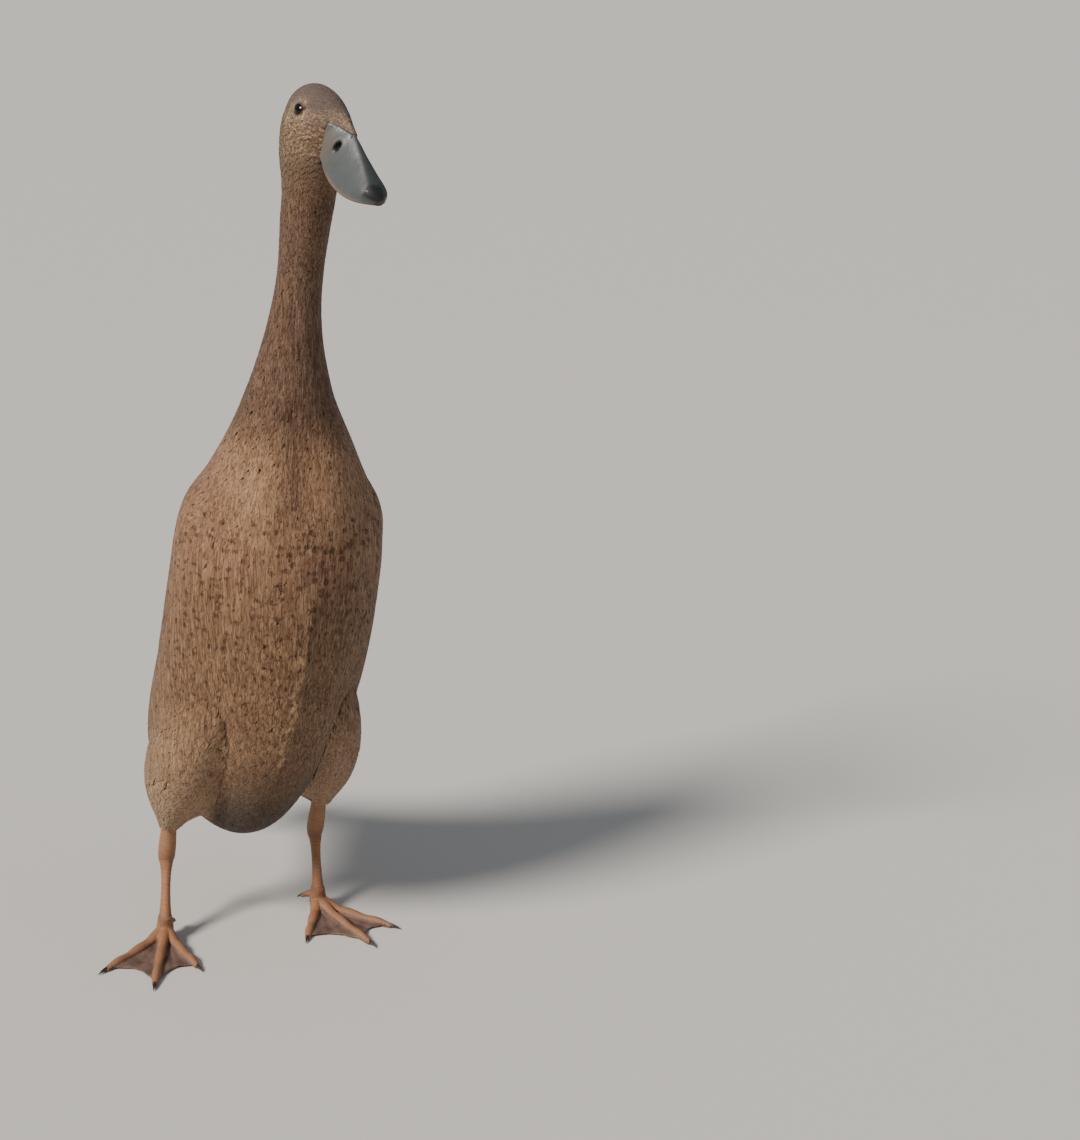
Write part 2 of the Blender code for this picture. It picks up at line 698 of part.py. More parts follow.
def thigh_rings(side_name, grow=0.0):
    """Rings of the feathered thigh from just above the hock to inside the flank."""
    low = hock(side_name) + np.array([0, 0.012, TROUSER_END - HOCK_HEIGHT])
    high = THIGH_TOP[side_name]
    rings = []
    for share, wide, deep in zip(THIGH_LEVELS, THIGH_WIDE, THIGH_DEEP):
        middle = low + (high - low) * share
        middle[1] -= 0.006 * math.sin(math.pi * share)
        rings.append(
            [
                middle + np.array([(wide + grow) * math.cos(t), (deep + grow) * math.sin(t), 0])
                for t in (2 * math.pi * k / 20 for k in range(20))
            ]
        )
    return rings


def make_thighs():
    """Feathered thighs, cut clear of the torso."""
    for name in SIDES:
        thigh = loft(f"thigh_{name}", thigh_rings(name), "plumage")
        boolean(thigh, [torso_solid("cover", JOIN_GAP)], "DIFFERENCE")


SHANK_LEVELS = (0.0, 0.10, 0.30, 0.52, 0.66, 0.76, 0.88, 1.0)
SHANK_WIDE = (0.0052, 0.0042, 0.0034, 0.0036, 0.0050, 0.0062, 0.0056, 0.0048)
SHANK_DEEP = (0.0060, 0.0052, 0.0044, 0.0050, 0.0066, 0.0074, 0.0064, 0.0056)


def make_shanks():
    """Bare shanks, from the ankle over the hock to the feathered thigh."""
    for name in SIDES:
        low, bend = ankle(name), hock(name)
        top = hock(name) + np.array([0, 0.012, TROUSER_END - HOCK_HEIGHT - JOIN_GAP])
        low = low + np.array([0, 0, 0.0035])
        line = []
        split = 0.72
        for share in SHANK_LEVELS:
            if share <= split:
                line.append(low + (bend - low) * share / split)
            else:
                line.append(bend + (top - bend) * (share - split) / (1 - split))
        line[1] = low + np.array([0, 0, 0.003])
        line[-2] = top - np.array([0, 0, 0.004])
        tube(f"shank_{name}", line, list(zip(SHANK_WIDE, SHANK_DEEP)), "leg", 12)


# Feet

TOE_LEVELS = (0.0, 0.14, 0.30, 0.46, 0.62, 0.78, 0.90, 1.0)
TOE_RADII = (0.0050, 0.0046, 0.0037, 0.0039, 0.0031, 0.0033, 0.0027, 0.0020)
TOE_DROP = (0.55, 0.34, 0.12, 0.02, 0.0, 0.0, 0.0, 0.0)
TOE_SUNK = 0.0006
WEB_THICKNESS = 0.0013
CLAW_LENGTH = 0.0075


def toe_bearing(side_name, toe):
    bearing, length = FEET[side_name]["toes"][toe]
    turn = math.radians(bearing)
    return np.array([math.sin(turn), math.cos(turn), 0.0]), length


def toe_line(side_name, toe):
    """Points along a toe's middle, from the ankle down to the floor and out."""
    ahead, length = toe_bearing(side_name, toe)
    start = ankle(side_name)
    line = []
    for share, radius, drop in zip(TOE_LEVELS, TOE_RADII, TOE_DROP):
        rest = radius - TOE_SUNK
        up = rest + (start[2] - 0.003 - rest) * drop
        line.append(np.array([start[0], start[1], 0]) + ahead * length * share + np.array([0, 0, up]))
    return line


def web_sheet(side_name, one, other):
    """A thin web from toe to toe, its front edge curving back between them."""
    first, second = toe_line(side_name, one), toe_line(side_name, other)
    across, along = 4, 6
    top = []
    for i in range(along):
        for k in range(across + 1):
            share = k / across
            scallop = 1 - 0.15 * math.sin(math.pi * share)
            place = min(i * scallop * 6.6 / (along - 1), 6.999)
            j, t = int(place), place - int(place)
            a = first[j] * (1 - t) + first[j + 1] * t
            b = second[j] * (1 - t) + second[j + 1] * t
            point = a * (1 - share) + b * share
            sag = 0.0012 * math.sin(math.pi * share)
            point[2] = max(point[2] - sag, WEB_THICKNESS * 0.5 + 0.0004)
            top.append(point)
    half = np.array([0, 0, WEB_THICKNESS / 2])
    points = [p + half for p in top] + [p - half for p in top]
    shift, row = len(top), across + 1
    faces = []
    for i in range(along - 1):
        for k in range(across):
            a, b, c, d = i * row + k, i * row + k + 1, (i + 1) * row + k + 1, (i + 1) * row + k
            faces += [(a, b, c), (a, c, d)]
            faces += [(a + shift, c + shift, b + shift), (a + shift, d + shift, c + shift)]
    rim = [k for k in range(row)] + [i * row + across for i in range(1, along)]
    rim += [(along - 1) * row + k for k in range(across - 1, -1, -1)]
    rim += [i * row for i in range(along - 2, 0, -1)]
    for a, b in zip(rim, rim[1:] + rim[:1]):
        faces.append((a, a + shift, b + shift, b))
    return add_object("web", points, faces, "web")


def make_claw(name, start, ahead, length, radius):
    """A short hooked claw beyond a toe's end."""
    line, radii = [], []
    for share in (0.0, 0.35, 0.7, 1.0):
        drop = np.array([0, 0, -0.0012 * share * share])
        line.append(start + ahead * (JOIN_GAP + length * share) + drop)
        size = radius * (1 - 0.86 * share)
        radii.append((size, size))
    across = np.cross(ahead, (0, 0, 1.0))
    return tube(name, line, radii, "claw", 6, across=across)


def hind_toe(side_name):
    """Start, direction and length of the small hind toe, held off the floor."""
    inward = -SIDES[side_name]
    start = ankle(side_name) + np.array([inward * 0.0015, -0.003, -0.0015])
    ahead = np.array([inward * 0.62, -0.66, -0.42])
    return start, ahead / np.linalg.norm(ahead), 0.0125


def make_feet():
    """Webbed feet with flat soles, a raised hind toe and separate claws."""
    for name in SIDES:
        centre = ankle(name)
        radii = [(0.0050, 0.0056), (0.0060, 0.0066), (0.0064, 0.0070), (0.0058, 0.0064), (0.0053, 0.0061)]
        levels = (-ANKLE_HEIGHT - 0.001, -0.0105, -0.0045, 0.000, 0.0032)
        line = [centre + np.array([0, 0, z]) for z in levels]
        foot = tube(f"foot_{name}", line, radii, "web", 12)
        pieces = []
        for toe in ("outer", "middle", "inner"):
            ahead, _ = toe_bearing(name, toe)
            across = np.cross(ahead, (0, 0, 1.0))
            points = toe_line(name, toe)
            radii = [(r, r) for r in TOE_RADII]
            pieces.append(tube("toe", points, radii, "leg", 6, across=across))
            claw_start = points[-1] + np.array([0, 0, TOE_SUNK * 0.6])
            make_claw(f"claw_{name}_{toe}", claw_start, ahead, CLAW_LENGTH, 0.0017)
        pieces.append(web_sheet(name, "outer", "middle"))
        pieces.append(web_sheet(name, "middle", "inner"))
        start, ahead, length = hind_toe(name)
        spots = [start + ahead * length * s for s in (0.0, 0.5, 1.0)]
        sizes = [(0.0034, 0.0034), (0.0026, 0.0026), (0.0018, 0.0018)]
        pieces.append(tube("hind", spots, sizes, "leg", 8, across=(0, 0, 1.0)))
        make_claw(f"claw_{name}_hind", spots[-1], ahead, CLAW_LENGTH * 0.6, 0.0014)
        boolean(foot, pieces, "UNION")
        low = centre + np.array([0, 0.02, 0])
        below = [
            np.array([low[0] + x, low[1] + y, z])
            for z in (SOLE_LEVEL - 0.02, SOLE_LEVEL)
            for x, y in ((-0.12, -0.12), (0.12, -0.12), (0.12, 0.12), (-0.12, 0.12))
        ]
        floor = loft("floor_cut", [below[:4], below[4:]], "web")
        boolean(foot, [floor], "DIFFERENCE")


def main():
    clear_scene()
    make_trunk()
    make_head()
    make_bill()
    make_tail()
    make_wings()
    make_thighs()
    make_shanks()
    make_feet()


main()
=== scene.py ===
"""The looks of a life-size Indian Runner duck, standing still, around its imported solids.

Metres, +Z up. The duck faces -Y, so its left side is +X. Shapes are first worked out in the
duck's own terms, (left, forward, up), and then moved into the model's frame.
"""
from __future__ import annotations

import logging
import math
from collections.abc import Callable
from dataclasses import dataclass
from enum import Enum

import bmesh
import bpy
import numpy as np
from mathutils import Matrix, Vector
from mathutils.bvhtree import BVHTree


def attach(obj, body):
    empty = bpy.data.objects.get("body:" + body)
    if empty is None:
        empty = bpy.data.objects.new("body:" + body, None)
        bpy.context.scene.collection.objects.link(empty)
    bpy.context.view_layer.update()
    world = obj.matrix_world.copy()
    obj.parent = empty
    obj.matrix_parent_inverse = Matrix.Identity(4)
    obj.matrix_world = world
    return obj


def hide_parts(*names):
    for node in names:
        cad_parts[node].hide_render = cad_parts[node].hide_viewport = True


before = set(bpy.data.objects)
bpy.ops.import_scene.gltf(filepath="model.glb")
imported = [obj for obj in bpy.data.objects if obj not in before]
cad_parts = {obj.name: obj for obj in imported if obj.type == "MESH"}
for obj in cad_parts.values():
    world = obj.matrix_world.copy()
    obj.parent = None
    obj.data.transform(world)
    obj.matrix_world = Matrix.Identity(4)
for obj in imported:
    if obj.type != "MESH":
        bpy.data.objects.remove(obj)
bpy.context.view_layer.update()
LOG = logging.getLogger("duck")

Array = np.ndarray
Piece = bpy.types.Object
Finish = bpy.types.Material
Socket = bpy.types.NodeSocket
Span = tuple[float, float]
UP = np.array([0.0, 0.0, 1.0])
ALL_ROUND = (0.0, 2 * math.pi)

ORIGIN_LEFT = -0.003
ORIGIN_FORWARD = 0.006
BODY_HALF = 0.0645
NECK_HALF = 0.0150
HEAD_HALF = 0.0190
SIDE_LEAN = 0.011
SIDE_LEAN_HEIGHT = 0.35
HEAD_YAW = math.radians(18)
YAW_AXIS_FORWARD = 0.095
CHEEK_TAPER = 0.08

STATIONS = (
    ("tail_tip", (-0.158, 0.094), (-0.152, 0.088), 0.30 * BODY_HALF),
    ("tail_end", (-0.124, 0.119), (-0.114, 0.102), 0.42 * BODY_HALF),
    ("tail_root", (-0.094, 0.144), (-0.074, 0.091), 0.56 * BODY_HALF),
    ("vent", (-0.075, 0.173), (-0.038, 0.079), 0.80 * BODY_HALF),
    ("belly_low", (-0.060, 0.203), (0.002, 0.078), 0.93 * BODY_HALF),
    ("hip", (-0.048, 0.233), (0.038, 0.101), 1.00 * BODY_HALF),
    ("belly", (-0.038, 0.263), (0.069, 0.146), 1.01 * BODY_HALF),
    ("ribs", (-0.029, 0.293), (0.088, 0.202), 1.01 * BODY_HALF),
    ("breast", (-0.017, 0.323), (0.099, 0.257), 1.00 * BODY_HALF),
    ("shoulder", (-0.002, 0.354), (0.102, 0.309), 0.96 * BODY_HALF),
    ("crop", (0.014, 0.386), (0.096, 0.357), 0.70 * BODY_HALF),
    ("neck_base", (0.033, 0.419), (0.091, 0.402), 2.05 * NECK_HALF),
    ("neck_low", (0.047, 0.455), (0.088, 0.446), 1.32 * NECK_HALF),
    ("neck_mid", (0.056, 0.495), (0.088, 0.487), 0.98 * NECK_HALF),
    ("neck_high", (0.067, 0.533), (0.100, 0.521), 1.03 * NECK_HALF),
    ("nape", (0.071, 0.569), (0.108, 0.544), 0.90 * HEAD_HALF),
    ("occiput", (0.076, 0.600), (0.113, 0.556), 1.02 * HEAD_HALF),
    ("crown", (0.095, 0.6165), (0.117, 0.5635), 1.00 * HEAD_HALF),
    ("forehead", (0.118, 0.6115), (0.1195, 0.5690), 0.72 * HEAD_HALF),
    ("bill_base", (0.1345, 0.5965), (0.1230, 0.5735), 0.36 * HEAD_HALF),
    ("wedge_tip", (0.1402, 0.5908), (0.1275, 0.5755), 0.20 * HEAD_HALF),
)
STATION = {name: i for i, (name, *_) in enumerate(STATIONS)}

BILL = (
    ((0.1170, 0.6015), (0.1085, 0.5790), 0.0112, 0.0040, 0.75),
    ((0.1318, 0.5978), (0.1190, 0.5745), 0.0106, 0.0042, 1.15),
    ((0.1385, 0.5915), (0.1214, 0.5685), 0.0098, 0.0042, 1.45),
    ((0.1433, 0.5861), (0.1256, 0.5631), 0.0095, 0.0040, 1.25),
    ((0.1485, 0.5803), (0.1317, 0.5588), 0.0095, 0.0036, 1.05),
    ((0.1538, 0.5748), (0.1394, 0.5559), 0.0099, 0.0032, 0.90),
    ((0.1590, 0.5693), (0.1475, 0.5544), 0.0106, 0.0028, 0.80),
    ((0.1638, 0.5645), (0.1549, 0.5535), 0.0107, 0.0022, 0.70),
    ((0.1674, 0.5605), (0.1607, 0.5529), 0.0089, 0.0016, 0.62),
    ((0.1693, 0.5576), (0.1648, 0.5525), 0.0058, 0.0011, 0.60),
    ((0.1700, 0.5555), (0.1674, 0.5522), 0.0025, 0.0008, 0.60),
)

SIDES = {"right": -1, "left": 1}
ANKLE_HEIGHT = 0.0155
HOCK_HEIGHT = 0.058
HOCK_BACK = 0.018
TROUSER_END = 0.088
FEET = {
    "right": {
        "ankle": (-0.058, 0.000),
        "toes": {"outer": (-58, 0.060), "middle": (-21, 0.068), "inner": (12, 0.050)},
    },
    "left": {
        "ankle": (0.061, -0.007),
        "toes": {"outer": (43, 0.062), "middle": (16, 0.067), "inner": (-28, 0.047)},
    },
}


def step(low: float, high: float, x: Array | float) -> Array | float:
    """A smooth share from 0 at low to 1 at high."""
    t = np.clip((np.asarray(x, float) - low) / (high - low), 0.0, 1.0)
    return t * t * (3 - 2 * t)


def fall(low: float, high: float, x: Array | float) -> Array | float:
    """A smooth share from 1 at low to 0 at high."""
    return 1 - step(low, high, x)


def bell(x: Array | float, width: float) -> Array | float:
    """A smooth share that is 1 at 0 and fades over the width."""
    return np.exp(-((x / width) ** 2))


def in_model(left: Array, forward: Array, up: Array) -> Array:
    """Points in the model's frame from the duck's own terms.

    Args:
        left, forward, up: arrays of one shape.

    Returns:
        An array with one more axis, of three.
    """
    return np.stack([left - ORIGIN_LEFT, ORIGIN_FORWARD - forward, up], axis=-1)


def unit(vectors: Array) -> Array:
    """The vectors at length one."""
    return vectors / np.maximum(np.linalg.norm(vectors, axis=-1, keepdims=True), 1e-12)


def placed(points: Array) -> Array:
    """The same points moved from the duck's own terms into the model's frame."""
    return in_model(*np.moveaxis(points, -1, 0))


def round_angles(count: int) -> Array:
    """Even angles round a full turn."""
    return np.linspace(*ALL_ROUND, count, endpoint=False)


def even_grid(p_range: tuple, q_range: tuple, rings: int, sides: int, closed: bool = False) -> list[Array]:
    """Places on an even grid of p and q, without the last q where the grid is closed."""
    across = np.linspace(*q_range, sides, endpoint=not closed)
    return np.meshgrid(np.linspace(*p_range, rings), across, indexing="ij")


class Spline:
    """A natural cubic spline through rows of values at 0, 1, 2, and so on."""

    def __init__(self, rows: list | tuple) -> None:
        self.rows = np.array(rows, float)
        count = len(self.rows)
        system = np.eye(count)
        right = np.zeros_like(self.rows)
        for i in range(1, count - 1):
            system[i, i - 1 : i + 2] = (1, 4, 1)
            right[i] = 6 * (self.rows[i - 1] - 2 * self.rows[i] + self.rows[i + 1])
        self.bends = np.linalg.solve(system, right)

    def at(self, u: Array | float) -> Array:
        """The row of values at each place.

        Args:
            u: places along the spline.

        Returns:
            An array with the columns as its last axis.
        """
        u = np.asarray(u, float)
        i = np.clip(np.floor(u), 0, len(self.rows) - 2).astype(int)
        t = (u - i)[..., None]
        return (
            self.rows[i] * (1 - t)
            + self.rows[i + 1] * t
            + ((1 - t) ** 3 - (1 - t)) * self.bends[i] / 6
            + (t**3 - t) * self.bends[i + 1] / 6
        )


def smooth_table(places: Array, levels: tuple, *columns: tuple) -> list[Array]:
    """Each column's values at the given places, on a smooth curve through its values at the levels."""
    dense = Spline(list(zip(levels, *columns))).at(np.linspace(0, len(levels) - 1, 400))
    return [np.interp(places, dense[:, 0], dense[:, k + 1]) for k in range(len(columns))]


def head_frame(points: Array) -> Array:
    """Points in the head's own terms: left of its middle, forward of its turning axis, and up."""
    left = points[..., 0] + ORIGIN_LEFT - SIDE_LEAN * step(0, 1, points[..., 2] / SIDE_LEAN_HEIGHT)
    out = ORIGIN_FORWARD - points[..., 1] - YAW_AXIS_FORWARD
    cos, sin = math.cos(HEAD_YAW), math.sin(HEAD_YAW)
    return np.stack([left * cos - out * sin, out * cos + left * sin, points[..., 2]], axis=-1)


def past_feather_line(points: Array) -> Array:
    """How far each point lies ahead of the line where the feathers end and the bare bill begins."""
    left, forward, up = np.moveaxis(head_frame(points), -1, 0)
    beside = np.interp(up, (0.5600, 0.5697, 0.5797, 0.5976), (0.0200, 0.0231, 0.0268, 0.0290))
    above = 0.5880 + 0.0096 * np.clip(np.abs(left) / 0.0091, 0, 1)
    return np.minimum(forward - beside, (above - up) * 0.8)


class Form:
    """A surface that feathers lie on. p runs along their lay and q across it.

    lay is -1 where the tips point to lower p, and +1 where they point to higher p.
    out_sign makes the normals point outwards.
    """

    lay = -1.0
    out_sign = 1.0
    step_p = 0.02
    step_q = 0.02
    span_p = len(STATIONS) - 1
    span_q = 2 * math.pi

    def surface(self, p: Array, q: Array) -> Array:
        """Points of the bare surface in the model's frame."""
        return self.shape(*np.broadcast_arrays(np.asarray(p, float), np.asarray(q, float)))

    def shape(self, p: Array, q: Array) -> Array:
        """The same, for places given as two arrays of one shape."""
        raise NotImplementedError

    def slopes(self, p: Array, q: Array) -> tuple[Array, Array]:
        """How the surface moves for one unit of p and of q."""
        ahead = (self.surface(p + self.step_p, q) - self.surface(p - self.step_p, q)) / (2 * self.step_p)
        beside = (self.surface(p, q + self.step_q) - self.surface(p, q - self.step_q)) / (2 * self.step_q)
        return ahead, beside

    def area(self, p: Array, q: Array) -> Array:
        """The surface's area for one unit of p and of q."""
        return np.linalg.norm(np.cross(*self.slopes(p, q)), axis=-1)

    def normals(self, p: Array, q: Array) -> Array:
        """Outward directions of length one."""
        return self.out_sign * unit(np.cross(*self.slopes(p, q)))

    def points(self, p: Array, q: Array, lift: Array | float) -> Array:
        """Points at a height over the surface, or under it where lift is negative."""
        return self.surface(p, q) + np.asarray(lift)[..., None] * self.normals(p, q)

    def unwrap(self, p: Array, q: Array) -> Array:
        """The place on a flat map of the surface, from 0 to 1 both ways."""
        return np.stack([np.mod(q / self.span_q, 1.0), p / self.span_p], axis=-1)


class BodyForm(Form):
    """The coat's outline from the tail to the bill. p is the station and q the angle from the back."""

    PINCH = 0.20
    SHOULDER = 0.0052
    NECK_SWAY = 0.0024
    CHEEK_LOSS = 0.0020
    RIDGE = 0.0034
    LOBES = 0.0022
    HOLLOW = 0.0026

    def __init__(self) -> None:
        self.spline = Spline([(*back, *front, width) for _, back, front, width in STATIONS])

    def duck_terms(self, p: Array, q: Array) -> Array:
        """The outline's (left, forward, up)."""
        back_s, back_z, front_s, front_z, width = np.moveaxis(self.spline.at(p), -1, 0)
        forward = (back_s + front_s) / 2 + np.cos(q) * (back_s - front_s) / 2
        up = (back_z + front_z) / 2 + np.cos(q) * (back_z - front_z) / 2
        taper = CHEEK_TAPER * step(0, 1, p - STATION["neck_high"])
        pinch = self.PINCH * step(0.10, 0.95, -np.cos(q)) * step(1.5, 3.5, p) * fall(5.2, 7.4, p)
        left = width * np.sin(q) * (1 - taper * np.cos(q)) * (1 - pinch)
        shoulder = self.SHOULDER * np.clip(np.sin(q), 0, 1)
        left = left + shoulder * step(8.5, 9.5, p) * fall(10.1, 11.3, p)
        left = left + self.NECK_SWAY * step(0.44, 0.50, up) * fall(0.540, 0.575, up)
        cheek = step(0.530, 0.560, up) * fall(0.598, 0.613, up)
        left = left + self.CHEEK_LOSS * cheek * np.clip(-np.sin(q), 0, 1) ** 0.5
        span = STATION["occiput"] - STATION["neck_mid"]
        return turned(left, forward, up, step(0, 1, (p - STATION["neck_mid"]) / span))

    def shape(self, p: Array, q: Array) -> Array:
        left, forward, up = np.moveaxis(self.duck_terms(p, q), -1, 0)
        return in_model(left, forward + self.parting(left, forward, up), up)

    def parting(self, left: Array, forward: Array, up: Array) -> Array:
        """The low ridge of parted feathers down the middle of the breast, steeper on the duck's left."""
        aside = left - SIDE_LEAN - parting_line(up)
        reach = np.where(aside > 0, 0.0050, 0.0200)
        along = step(0.15, 0.20, up) * fall(0.255, 0.295, up)
        ridge = self.RIDGE * np.exp(-((aside / reach) ** 2)) * along
        high = step(0.325, 0.355, up) * fall(0.385, 0.425, up)
        middle = left - SIDE_LEAN
        lobes = self.LOBES * bell(np.abs(middle) - 0.026, 0.012)
        lobes = lobes - self.HOLLOW * bell(middle, 0.010)
        return (ridge + lobes * high) * step(0.0, 0.03, forward)


def parting_line(up: Array) -> Array:
    """How far left of the middle the breast's parting runs, by height."""
    return -0.001 + 0.05 * (up - 0.20) + 0.0012 * np.sin(up * 190) + 0.0006 * np.sin(up * 470)


def turned(left: Array, forward: Array, up: Array, share: Array | float) -> Array:
    """The duck's own terms after a share of the head's turn, and the body's slight lean."""
    yaw = HEAD_YAW * np.asarray(share, float)
    out = forward - YAW_AXIS_FORWARD
    return np.stack(
        [
            left * np.cos(yaw) + out * np.sin(yaw) + SIDE_LEAN * step(0, 1, up / SIDE_LEAN_HEIGHT),
            YAW_AXIS_FORWARD + out * np.cos(yaw) - left * np.sin(yaw),
            up + 0 * left,
        ],
        axis=-1,
    )


class ThighForm(Form):
    """One feathered thigh. p is the level, from the hock up, and q the angle round it."""

    SHARES = (0.0, 0.077, 0.186, 0.325, 0.48, 0.66, 0.84, 1.0)
    WIDE = (0.0080, 0.0132, 0.0210, 0.0268, 0.0288, 0.0275, 0.0220, 0.0080)
    DEEP = (0.0088, 0.0172, 0.0280, 0.0370, 0.0410, 0.0410, 0.0330, 0.0120)
    TOPS = {"right": (-0.030, 0.047, 0.222), "left": (0.041, 0.047, 0.222)}
    span_p = 7

    def __init__(self, side: str) -> None:
        self.low = thigh_end(side)
        self.high = np.array(self.TOPS[side])
        self.spline = Spline(list(zip(self.SHARES, self.WIDE, self.DEEP)))

    def shape(self, p: Array, q: Array) -> Array:
        share, wide, deep = np.moveaxis(self.spline.at(p), -1, 0)
        middle = self.low + (self.high - self.low) * share[..., None]
        forward = middle[..., 1] - 0.006 * np.sin(math.pi * share) + deep * np.sin(q)
        return in_model(middle[..., 0] + wide * np.cos(q), forward, middle[..., 2])


class WingForm(Form):
    """One folded wing. p runs from its bend to its tip, and q across it from its upper edge."""

    STATIONS = (9.55, 9.2, 8.2, 7.0, 5.8, 4.6, 3.4, 2.4, 1.6, 1.0)
    TOP_ANGLES = (66, 48, 34, 27, 22, 18, 17, 20, 28, 38)
    LOW_ANGLES = (82, 100, 108, 109, 104, 95, 84, 74, 64, 52)
    LIFTS = (0.0006, 0.0044, 0.0092, 0.0098, 0.0096, 0.0094, 0.0088, 0.0078, 0.0062, 0.0030)
    SPREAD = {"right": 0.54, "left": 0.80}
    NARROWEST = 14
    lay = 1.0
    step_p = 0.003
    step_q = 0.01

    def __init__(self, side: str, body: BodyForm) -> None:
        self.side = side
        self.body = body
        self.spline = Spline(list(zip(self.STATIONS, self.TOP_ANGLES, self.LOW_ANGLES, self.LIFTS)))
        self.out_sign = -float(SIDES[side])

    def table(self, count: int) -> Array:
        """Station, angles and lift at even places along the wing, in the stations' order."""
        rows = self.spline.at(np.linspace(0, 1, count) * (len(self.STATIONS) - 1))
        return rows[np.argsort(rows[:, 0])]

    def on_body(self, p: Array, q: Array) -> tuple[Array, Array, Array]:
        """The body's station and angle under a place of the wing, and the wing's height there."""
        station, top, low, lift = np.moveaxis(self.spline.at(p * (len(self.STATIONS) - 1)), -1, 0)
        low = np.maximum(low, top + self.NARROWEST)
        angle = SIDES[self.side] * np.radians(top + (low - top) * q)
        dome = np.sin(math.pi * np.clip(q, 0.0, 1.0)) ** 0.6
        height = 0.0012 + np.maximum(lift * self.SPREAD[self.side] - 0.0009, 0.0) * dome
        return station, angle, height

    def shape(self, p: Array, q: Array) -> Array:
        return self.body.points(*self.on_body(p, q))

    def unwrap(self, p: Array, q: Array) -> Array:
        return np.stack([0.05 + 0.9 * q, 0.05 + 0.85 * p], axis=-1)


class SideForm(Form):
    """The body's side with the front half of the folded wing under it. p is the station and q the
    angle from the back, in degrees, counted on the wing's own side."""

    FLUFF = 0.0016
    step_q = 0.5
    span_q = 180

    def __init__(self, side: str, body: BodyForm, wing: WingForm) -> None:
        self.sign = SIDES[side]
        self.body = body
        self.wing = wing
        self.out_sign = float(self.sign)
        self.table = wing.table(300)

    def across(self, p: Array, q: Array) -> tuple[Array, Array]:
        """The share across the wing at a place, and the wing's lift at that station."""
        top, low, lift = (np.interp(p, self.table[:, 0], self.table[:, k]) for k in (1, 2, 3))
        low = np.maximum(low, top + self.wing.NARROWEST)
        return (q - top) / (low - top), lift

    def under_wing(self, share: Array, lift: Array) -> Array:
        """The folded wing's height under the flank's feathers."""
        return lift * self.wing.SPREAD[self.wing.side] * fall(0.72, 1.32, share)

    def shape(self, p: Array, q: Array) -> Array:
        share, lift = self.across(p, q)
        height = self.under_wing(share, lift) * step(-0.45, 0.30, share)
        height = (height + self.FLUFF * fall(0.95, 1.42, share)) * fall(8.9, 9.75, p)
        return self.body.points(p, self.sign * np.radians(q), height)


class HaunchForm(SideForm):
    """The body's side with the top of the thigh swelling out of it, one smooth surface."""

    STATIONS_RANGE = (1.2, 8.4)
    ANGLES = (40.0, 180.0)
    COUNT = 124
    PROBE = 0.05

    def __init__(self, side: str, body: BodyForm, wing: WingForm, thigh: ThighForm) -> None:
        super().__init__(side, body, wing)
        self.field = self.swelling(surface_tree(thigh, (0.0, 7.0)))

    def swelling(self, tree: BVHTree) -> Array:
        """How far the thigh stands out of the body, over a grid of stations and angles."""
        p, q = even_grid(self.STATIONS_RANGE, self.ANGLES, self.COUNT, self.COUNT)
        angle = self.sign * np.radians(q)
        starts = self.body.points(p, angle, self.PROBE)
        normals = self.body.normals(p, angle)
        heights = np.zeros(p.shape)
        for index in np.ndindex(p.shape):
            hit = tree.ray_cast(Vector(starts[index]), -Vector(normals[index]), self.PROBE)
            if hit[0] is not None:
                heights[index] = self.PROBE - hit[3]
        soft = heights
        for _ in range(9):
            for axis in (0, 1):
                soft = (np.roll(soft, 1, axis) + 2 * soft + np.roll(soft, -1, axis)) / 4
        return np.maximum(soft, heights - 0.0008)

    def swell(self, p: Array, q: Array) -> Array:
        """The thigh's height over the body at a place."""
        last = self.COUNT - 1
        i, k = (
            np.clip((place - start) / (end - start) * last, 0, self.COUNT - 1.001)
            for place, (start, end) in ((p, self.STATIONS_RANGE), (q, self.ANGLES))
        )
        a, b = i.astype(int), k.astype(int)
        s, t = i - a, k - b
        low = self.field[a, b] * (1 - t) + self.field[a, b + 1] * t
        high = self.field[a + 1, b] * (1 - t) + self.field[a + 1, b + 1] * t
        return low * (1 - s) + high * s

    def shape(self, p: Array, q: Array) -> Array:
        height = self.under_wing(*self.across(p, q)) * step(2.6, 3.4, p)
        height = np.maximum(self.swell(p, q), height) + 0.0009
        return self.body.points(p, self.sign * np.radians(q), height)


def surface_tree(form: Form, p_range: Span) -> BVHTree:
    """A search tree of a form that is closed round q."""
    corners, faces = closed_tube(form.surface(*even_grid(p_range, ALL_ROUND, 60, 80, closed=True)))
    polygons = [tuple(map(int, face)) for array in faces for face in array]
    return BVHTree.FromPolygons([Vector(corner) for corner in corners], polygons)


def over_surface(tree: BVHTree, middle: Vector, point: Array) -> tuple[Vector, Vector, float]:
    """Where a point lies over a closed surface.

    Args:
        tree: the surface's search tree.
        middle: a point inside it.
        point: the point.

    Returns:
        The surface's nearest place, its outward direction there, and the point's height over it.
    """
    place, normal, _, _ = tree.find_nearest(Vector(point))
    if (place - middle).dot(normal) < 0:
        normal = -normal
    return place, normal, (Vector(point) - place).dot(normal)


def body_middle(body: BodyForm, station: float) -> Vector:
    """The middle of the body at a station."""
    return Vector(body.surface(np.array([station, station]), np.array([0.0, math.pi])).mean(0))


def hock(side: str) -> Array:
    """The middle of the hock joint, in the duck's own terms."""
    left, forward = FEET[side]["ankle"]
    return np.array([left + (0.006 if side == "right" else 0.003), forward - HOCK_BACK, HOCK_HEIGHT])


def thigh_end(side: str) -> Array:
    """The lower end of the thigh's feathers, in the duck's own terms."""
    return hock(side) + np.array([0, 0.012, TROUSER_END - HOCK_HEIGHT])


